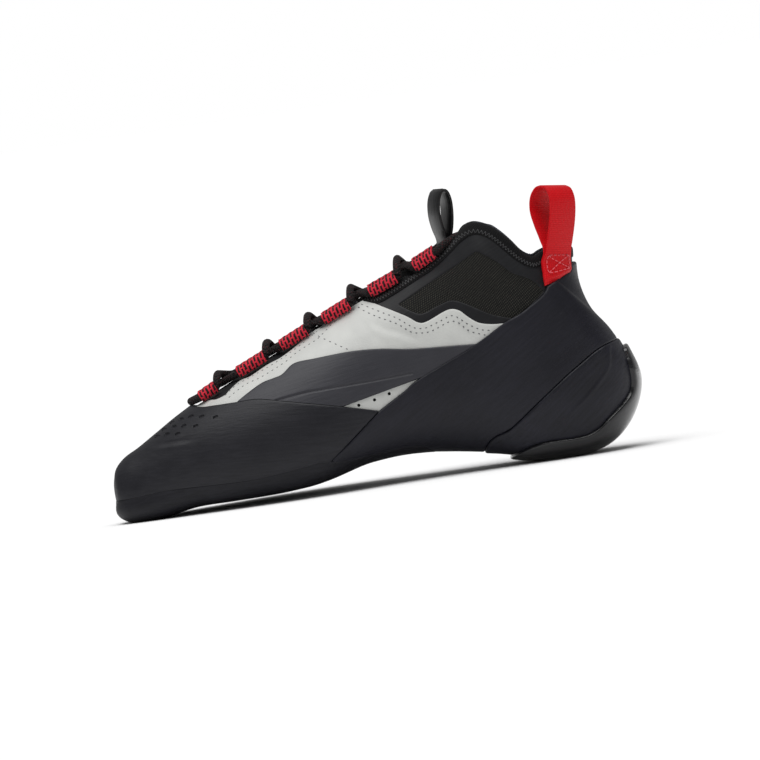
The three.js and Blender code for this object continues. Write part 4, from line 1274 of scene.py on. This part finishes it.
def sleeve(name, start, end, is_big_toe):
    """A webbing tube with a real wall, a little flattened, and open at both ends."""
    middle_points = [tunnel_point(along, is_big_toe) for along in (start, (start + end) / 2, end)]
    path = curve(middle_points, SLEEVE_STEPS // 2)
    swell = 1 + PUCKER * np.sin(lengths_along(path) * 1.9 + start)
    outer = sweep(path, circle * [TUNNEL_RADIUS, TUNNEL_RADIUS * 0.94] * swell[:, None, None])
    inner = sweep(path, circle * [LACE_BORE, LACE_BORE])
    rings = len(path)
    count = rings * SLEEVE_AROUND
    skin = ring_faces(rings, SLEEVE_AROUND)
    points = np.concatenate([outer.reshape(-1, 3), inner.reshape(-1, 3)])
    near = np.arange(SLEEVE_AROUND)
    beside = np.roll(near, -1)
    far = near + count - SLEEVE_AROUND
    far_beside = beside + count - SLEEVE_AROUND
    caps = [np.stack([beside, near, near + count, beside + count], 1),
            np.stack([far, far_beside, far_beside + count, far + count], 1)]
    faces = np.concatenate([skin, skin[:, ::-1] + count, *caps])
    run = lengths_along(path)
    ring, spoke = np.divmod(np.arange(count), SLEEVE_AROUND)
    flat = np.stack([run[ring], spoke * (2 * np.pi * TUNNEL_RADIUS / SLEEVE_AROUND)], 1)
    flat = np.concatenate([flat, flat])
    return add_mesh(name, points, faces, ladder_webbing, flat[faces.ravel()])


for number, (start, end) in enumerate(TUNNELS, 1):
    for side, is_big_toe in (("medial", True), ("lateral", False)):
        piece = sleeve(f"sleeve_{side}_{number}", start, end, is_big_toe)
        settle(piece, "ladder_webbing", f"tunnel_{side}_{number}")

# Lace
# One round braided cord, dark with a red fleck. It runs up through the sleeves, crosses over the
# tongue between them, and its two ends are tucked behind the collar at the top.
LACE_AROUND = 12
LACE_STEP = 0.6


def lace_side(is_big_toe_first):
    """Points of one half of the lace, from the toe to the collar, changing sides at each gap."""
    is_big_toe = is_big_toe_first
    points = []
    for number, (start, end) in enumerate(TUNNELS):
        points += [tunnel_point(along, is_big_toe) for along in (start, (start + end) / 2, end)]
        if number == len(TUNNELS) - 1:
            break
        gap = TUNNELS[number + 1][0] - end
        reach = throat_half(end) + TUNNEL_RADIUS
        route = over_route(gap) if is_big_toe else under_route(gap)
        points += [beside_ridge(end + ahead, reach * part, near, lift) for ahead, part, near, lift in route]
        is_big_toe = not is_big_toe
    reach = throat_half(end) + TUNNEL_RADIUS
    tail = [(3.5, 0.92, 2.6), (7, 0.8, 0.8), (10, 0.75, -2.2)]
    return points + [beside_ridge(end + ahead, reach * part, is_big_toe, lift) for ahead, part, lift in tail]


def over_route(gap):
    """The strand that leaves the big-toe side: it stands up in a knob and crosses on top.
    Each point has its length past the sleeve, its share of the way out, its side and its height."""
    return [(1.2, 0.97, True, 4.0), (2.2, 0.70, True, 5.8), (3.0, 0.15, True, 6.2), (3.8, 0.50, False, 5.8),
            (gap - 3.2, 0.97, False, 3.5), (gap - 1.2, 1.0, False, 3.0)]


def under_route(gap):
    """The strand that leaves the little-toe side: it crosses flat on the tongue."""
    return [(1.2, 0.97, False, 2.9), (2.6, 0.60, False, 2.2), (4.2, 0.0, True, 1.9),
            (gap - 2.2, 0.70, True, 2.3), (gap - 0.8, 0.99, True, 2.9)]


toe_bar = [beside_ridge(TUNNELS[0][0] - 4.4, 0, True, TUNNEL_RADIUS + TUNNEL_SEAT)]
lace_path = curve(lace_side(True)[::-1] + toe_bar + lace_side(False))
lace_path = spaced(lace_path, int(lengths_along(lace_path)[-1] / LACE_STEP))


def braid_tree():
    """Dark polyester braid: strands cross at an angle, with a red one among them."""
    made, tree = material_tree("braided_round_lace")
    flat = add_node(tree, "UVMap", {"uv_map": "cloth"})
    lean = add_node(tree, "Mapping", {"Rotation": (0, 0, math.radians(38))},
                    {"Vector": flat})
    back = add_node(tree, "Mapping", {"Rotation": (0, 0, math.radians(-38))},
                    {"Vector": flat})
    one = add_node(tree, "TexWave", {"Scale": 2 * math.pi / 1.2 / 20}, {"Vector": lean})
    two = add_node(tree, "TexWave", {"Scale": 2 * math.pi / 1.2 / 20}, {"Vector": back})
    both = add_node(tree, "Math", {"operation": "MULTIPLY"},
                    {0: one.outputs["Fac"], 1: two.outputs["Fac"]})
    fleck = add_node(tree, "TexNoise", {"Scale": 0.9, "Detail": 2}, {"Vector": flat})
    mask = add_node(tree, "MapRange", {"From Min": 0.5, "From Max": 0.62},
                    {"Value": fleck.outputs["Fac"]})
    tinted = add_node(tree, "Math", {"operation": "MULTIPLY"},
                      {0: mask, 1: both})
    ramp = add_node(tree, "ValToRGB", links={"Fac": tinted})
    ramp.color_ramp.elements[0].position = 0.05
    ramp.color_ramp.elements[0].color = linear("#0e090a")
    ramp.color_ramp.elements[1].position = 0.5
    ramp.color_ramp.elements[1].color = linear("#4c1a20")
    bump = add_node(tree, "Bump", {"Strength": 0.8, "Distance": 0.0006},
                    {"Height": both})
    shader = add_node(tree, "BsdfPrincipled",
                      {"Roughness": 0.7, "Sheen Weight": 0.02, "IOR": 1.5, "Specular IOR Level": 0.25},
                      {"Base Color": ramp, "Normal": bump})
    add_node(tree, "OutputMaterial", links={"Surface": shader})
    return made


def cord_piece(name, path, radius, finish):
    """A round cord along a path, closed at both ends."""
    around = LACE_AROUND
    angle = np.linspace(0, 2 * np.pi, around, endpoint=False)
    rings = sweep(path, np.stack([np.cos(angle), np.sin(angle)], 1) * radius).reshape(-1, 3)
    points = np.concatenate([rings, path[:1], path[-1:]])
    quads = ring_faces(len(path), around)
    near = np.arange(around)
    beside = np.roll(near, -1)
    last = len(rings) - around
    first_cap = np.stack([beside, near, np.full(around, len(rings))], 1)
    last_cap = np.stack([near + last, beside + last, np.full(around, len(rings) + 1)], 1)
    triangles = np.concatenate([quads[:, [0, 1, 2]], quads[:, [0, 2, 3]], first_cap, last_cap])
    run = lengths_along(path)
    ring, spoke = np.divmod(np.arange(len(rings)), around)
    flat = np.stack([run[ring], spoke * (2 * np.pi * radius / around)], 1)
    flat = np.concatenate([flat, [[0, 0], [run[-1], 0]]])
    return add_mesh(name, points, triangles, finish, flat[triangles.ravel()])


# Braided cord: nearly black, its red strand only a fleck.
lace = cord_piece("lace", lace_path, LACE / 2, braid_tree())
settle(lace, "lace_cord", "lace_toe", *[f"lace_crossing_{number}" for number in range(1, 6)])

# Pull loops
# The heel loop is 15 mm red webbing, folded double and box-stitched to the collar. The tongue loop
# is a smooth coated black strap. Both open into a teardrop above their stitching.
HEEL_LOOP = {"width": 15, "height": 45, "thickness": 1.2, "turn": 40, "lean": 8.6}
HEEL_LOOP_ROWS = [(0.00, 0.028, -0.028), (0.33, 0.028, -0.028), (0.45, 0.050, -0.080), (0.60, 0.080, -0.170),
                  (0.74, 0.095, -0.235), (0.87, 0.085, -0.235), (0.96, 0.035, -0.175), (1.00, -0.030, -0.110)]
HEEL_LOOP_SEAT = (0.998 * STANCE, -0.387 * HEEL_WIDTH, LIFT + 0.740 * UP)
SEWN = 0.33 * HEEL_LOOP["height"]  # length of the webbing that is stitched flat to the collar
TONGUE_LOOP = {"width": 12, "height": 26.5, "thickness": 1.4, "turn": -66, "lean": 2}
TONGUE_LOOP_ROWS = [(0.00, 0.055, -0.055), (0.14, 0.058, -0.058), (0.34, 0.120, -0.110),
                    (0.55, 0.155, -0.140), (0.78, 0.140, -0.140), (0.93, 0.080, -0.095),
                    (1.00, 0.015, -0.030)]
TONGUE_LOOP_SEAT = (0.754 * STANCE, 0.020 * HEEL_WIDTH, LIFT + 0.985 * UP)
STRAP_STEPS = 160
CLEAR = 60  # a place well outside the collar
LOOP_SEAT_GAP = 0.35


def standing(loop, seat):
    """Places of a loop that stands free: out from its plane, up it and across it."""
    turned, lean = math.radians(loop["turn"]), math.radians(loop["lean"])
    outwards = np.array([math.sin(turned), -math.cos(turned), 0])
    axes = np.array([outwards, [0, 0, 1], np.cross(outwards, [0, 0, 1])])
    turn_y = np.array([[math.cos(lean), 0, math.sin(lean)], [0, 1, 0], [-math.sin(lean), 0, math.cos(lean)]])
    axes = axes @ turn_y.T
    return lambda out, up, wide: np.stack([out, up, wide], -1) @ axes + seat


def sewn_down(loop, seat):
    """The same, but the foot lies flat on the upper and ends under the edge of the sling."""
    free = standing(loop, seat)
    pack = HEEL_LOOP_ROWS[0][1] * loop["height"]
    edge = np.array(SLING_FRONT[-1:] + SLING_TOP)
    way = free(*np.eye(3)[0]) - free(0, 0, 0)

    def flat(out, up, wide):
        low = np.interp(free(0 * out, 0 * up, wide)[:, 0], edge[:, 0], edge[:, 1]) - UNDER_SLING - seat[2]
        level = np.where(up < SEWN, low + up * (1 - low / SEWN), up)
        found = [on_last(place + way * CLEAR, -way) for place in free(0 * out, level, wide)]
        place, normal = np.array([f[0] for f in found]), np.array([f[1] for f in found])
        thin = 0.4 + 0.6 * ease((level - low) / 2.5)
        return place + normal * (LOOP_SEAT_GAP + (out + pack) * thin)[:, None]

    top = np.array([0.0]), np.array([SEWN]), np.array([0.0])
    shift = flat(*top) - free(*top)

    def place(out, up, wide):
        share = ease((up - SEWN + 5) / 5)[:, None]
        return flat(out, np.minimum(up, SEWN), wide) * (1 - share) + (free(out, up, wide) + shift) * share

    return place


def strap(name, loop, rows, place, finish):
    """A flat strap that runs up one side of the teardrop and down the other."""
    height, thick = loop["height"], loop["thickness"]
    table = np.array(rows)
    front = np.stack([table[:, 1] * height - thick / 2, table[:, 0] * height], 1)
    back = np.stack([table[:, 2] * height + thick / 2, table[:, 0] * height], 1)
    front[-1, 1] -= thick / 2
    back[-1, 1] -= thick / 2
    line = spaced(curve(np.concatenate([front, back[::-1]])), STRAP_STEPS)
    ahead = np.gradient(line, axis=0)
    ahead /= np.linalg.norm(ahead, axis=1, keepdims=True)
    out = np.stack([ahead[:, 1], -ahead[:, 0]], 1)
    half = loop["width"] / 2
    edge = thick / 2
    side = [(half - 0.5, -edge), (half - 0.1, -edge * 0.75), (half, 0), (half - 0.1, edge * 0.75),
            (half - 0.5, edge)]
    section = np.array([(-x, z) for x, z in side[1::-1]] + [(0, -edge)] + side + [(0, edge)]
                       + [(-x, z) for x, z in side[:1:-1]])
    around = len(section)
    flat_points = line[:, None] + out[:, None] * section[None, :, 1:]
    wide = np.broadcast_to(section[:, 0], flat_points.shape[:2])
    points = place(flat_points[..., 0].ravel(), flat_points[..., 1].ravel(), wide.ravel())
    quads = ring_faces(len(line), around)
    caps = [[(0, k + 1, k) for k in range(1, around - 1)]]
    last = (len(line) - 1) * around
    caps += [[(last, last + k, last + k + 1) for k in range(1, around - 1)]]
    triangles = np.concatenate([quads[:, [0, 1, 2]], quads[:, [0, 2, 3]], *caps])
    run = lengths_along(line)
    ring, spoke = np.divmod(np.arange(len(points)), around)
    cloth = np.stack([run[ring], section[spoke, 0]], 1)
    return add_mesh(name, points, triangles, finish, cloth[triangles.ravel()])


UNDER_SLING = 1.2  # how far the loop's foot runs under the sling's edge
# Fine tape: a saturated, dull red, its ribs almost too fine to see. Its deeper red is painted shade between
# the ribs, its brighter red a painted highlight on them.
red_webbing = cloth_tree("red_pull_webbing", "#c0000c", "#e20c1a", 0.9, 0.5, 0.0, knit=0.25)
heel_loop_place = sewn_down(HEEL_LOOP, HEEL_LOOP_SEAT)
heel_loop = strap("red_pull_loop", HEEL_LOOP, HEEL_LOOP_ROWS, heel_loop_place, red_webbing)
settle(heel_loop, "red_webbing", "heel_loop")

BOX_LOW, BOX_HIGH, BOX_HALF = 4.5, 13.5, 5.8
BOX_CORNERS = [(BOX_LOW, -BOX_HALF), (BOX_HIGH, -BOX_HALF), (BOX_HIGH, BOX_HALF), (BOX_LOW, BOX_HALF),
               (BOX_LOW, -BOX_HALF), (BOX_HIGH, BOX_HALF), (BOX_HIGH, -BOX_HALF), (BOX_LOW, BOX_HALF)]
BOX_STITCH = 2.0
thread_ends = []
for (low, left), (high, right) in zip(BOX_CORNERS[:-1], BOX_CORNERS[1:]):
    count = max(int(math.hypot(high - low, right - left) / BOX_STITCH), 2)
    shares = (np.arange(count)[:, None] + [0.14, 0.86]) / count
    up, wide = low + (high - low) * shares, left + (right - left) * shares
    face = HEEL_LOOP_ROWS[0][1] * HEEL_LOOP["height"] + 0.1
    starts, ends = (heel_loop_place(np.full(count, face), up[:, k], wide[:, k]) for k in (0, 1))
    deeper = heel_loop_place(np.full(count, face - 1), up[:, 0], wide[:, 0])
    normals = (starts - deeper) / np.linalg.norm(starts - deeper, axis=1, keepdims=True)
    thread_ends += list(zip(starts, ends, normals))
# Pale red thread: the box and its cross stand out from the tape.
box_stitch = thread_piece("pull_loop_stitching", thread_ends, 0.2, thread_tree("pale_red_thread", "#e2606a"))
settle(box_stitch, "red_webbing", "heel_loop")

# Coated strap: smooth satin black, so its bends catch soft lights.
coated_strap = rubber_tree("coated_black_strap", "#0a0a0b", "#101012", 0.32, 0.15, lean=90)
tongue_loop = strap("black_pull_loop", TONGUE_LOOP, TONGUE_LOOP_ROWS, standing(TONGUE_LOOP, TONGUE_LOOP_SEAT),
                    coated_strap)
settle(tongue_loop, "black_strap", "tongue_loop")
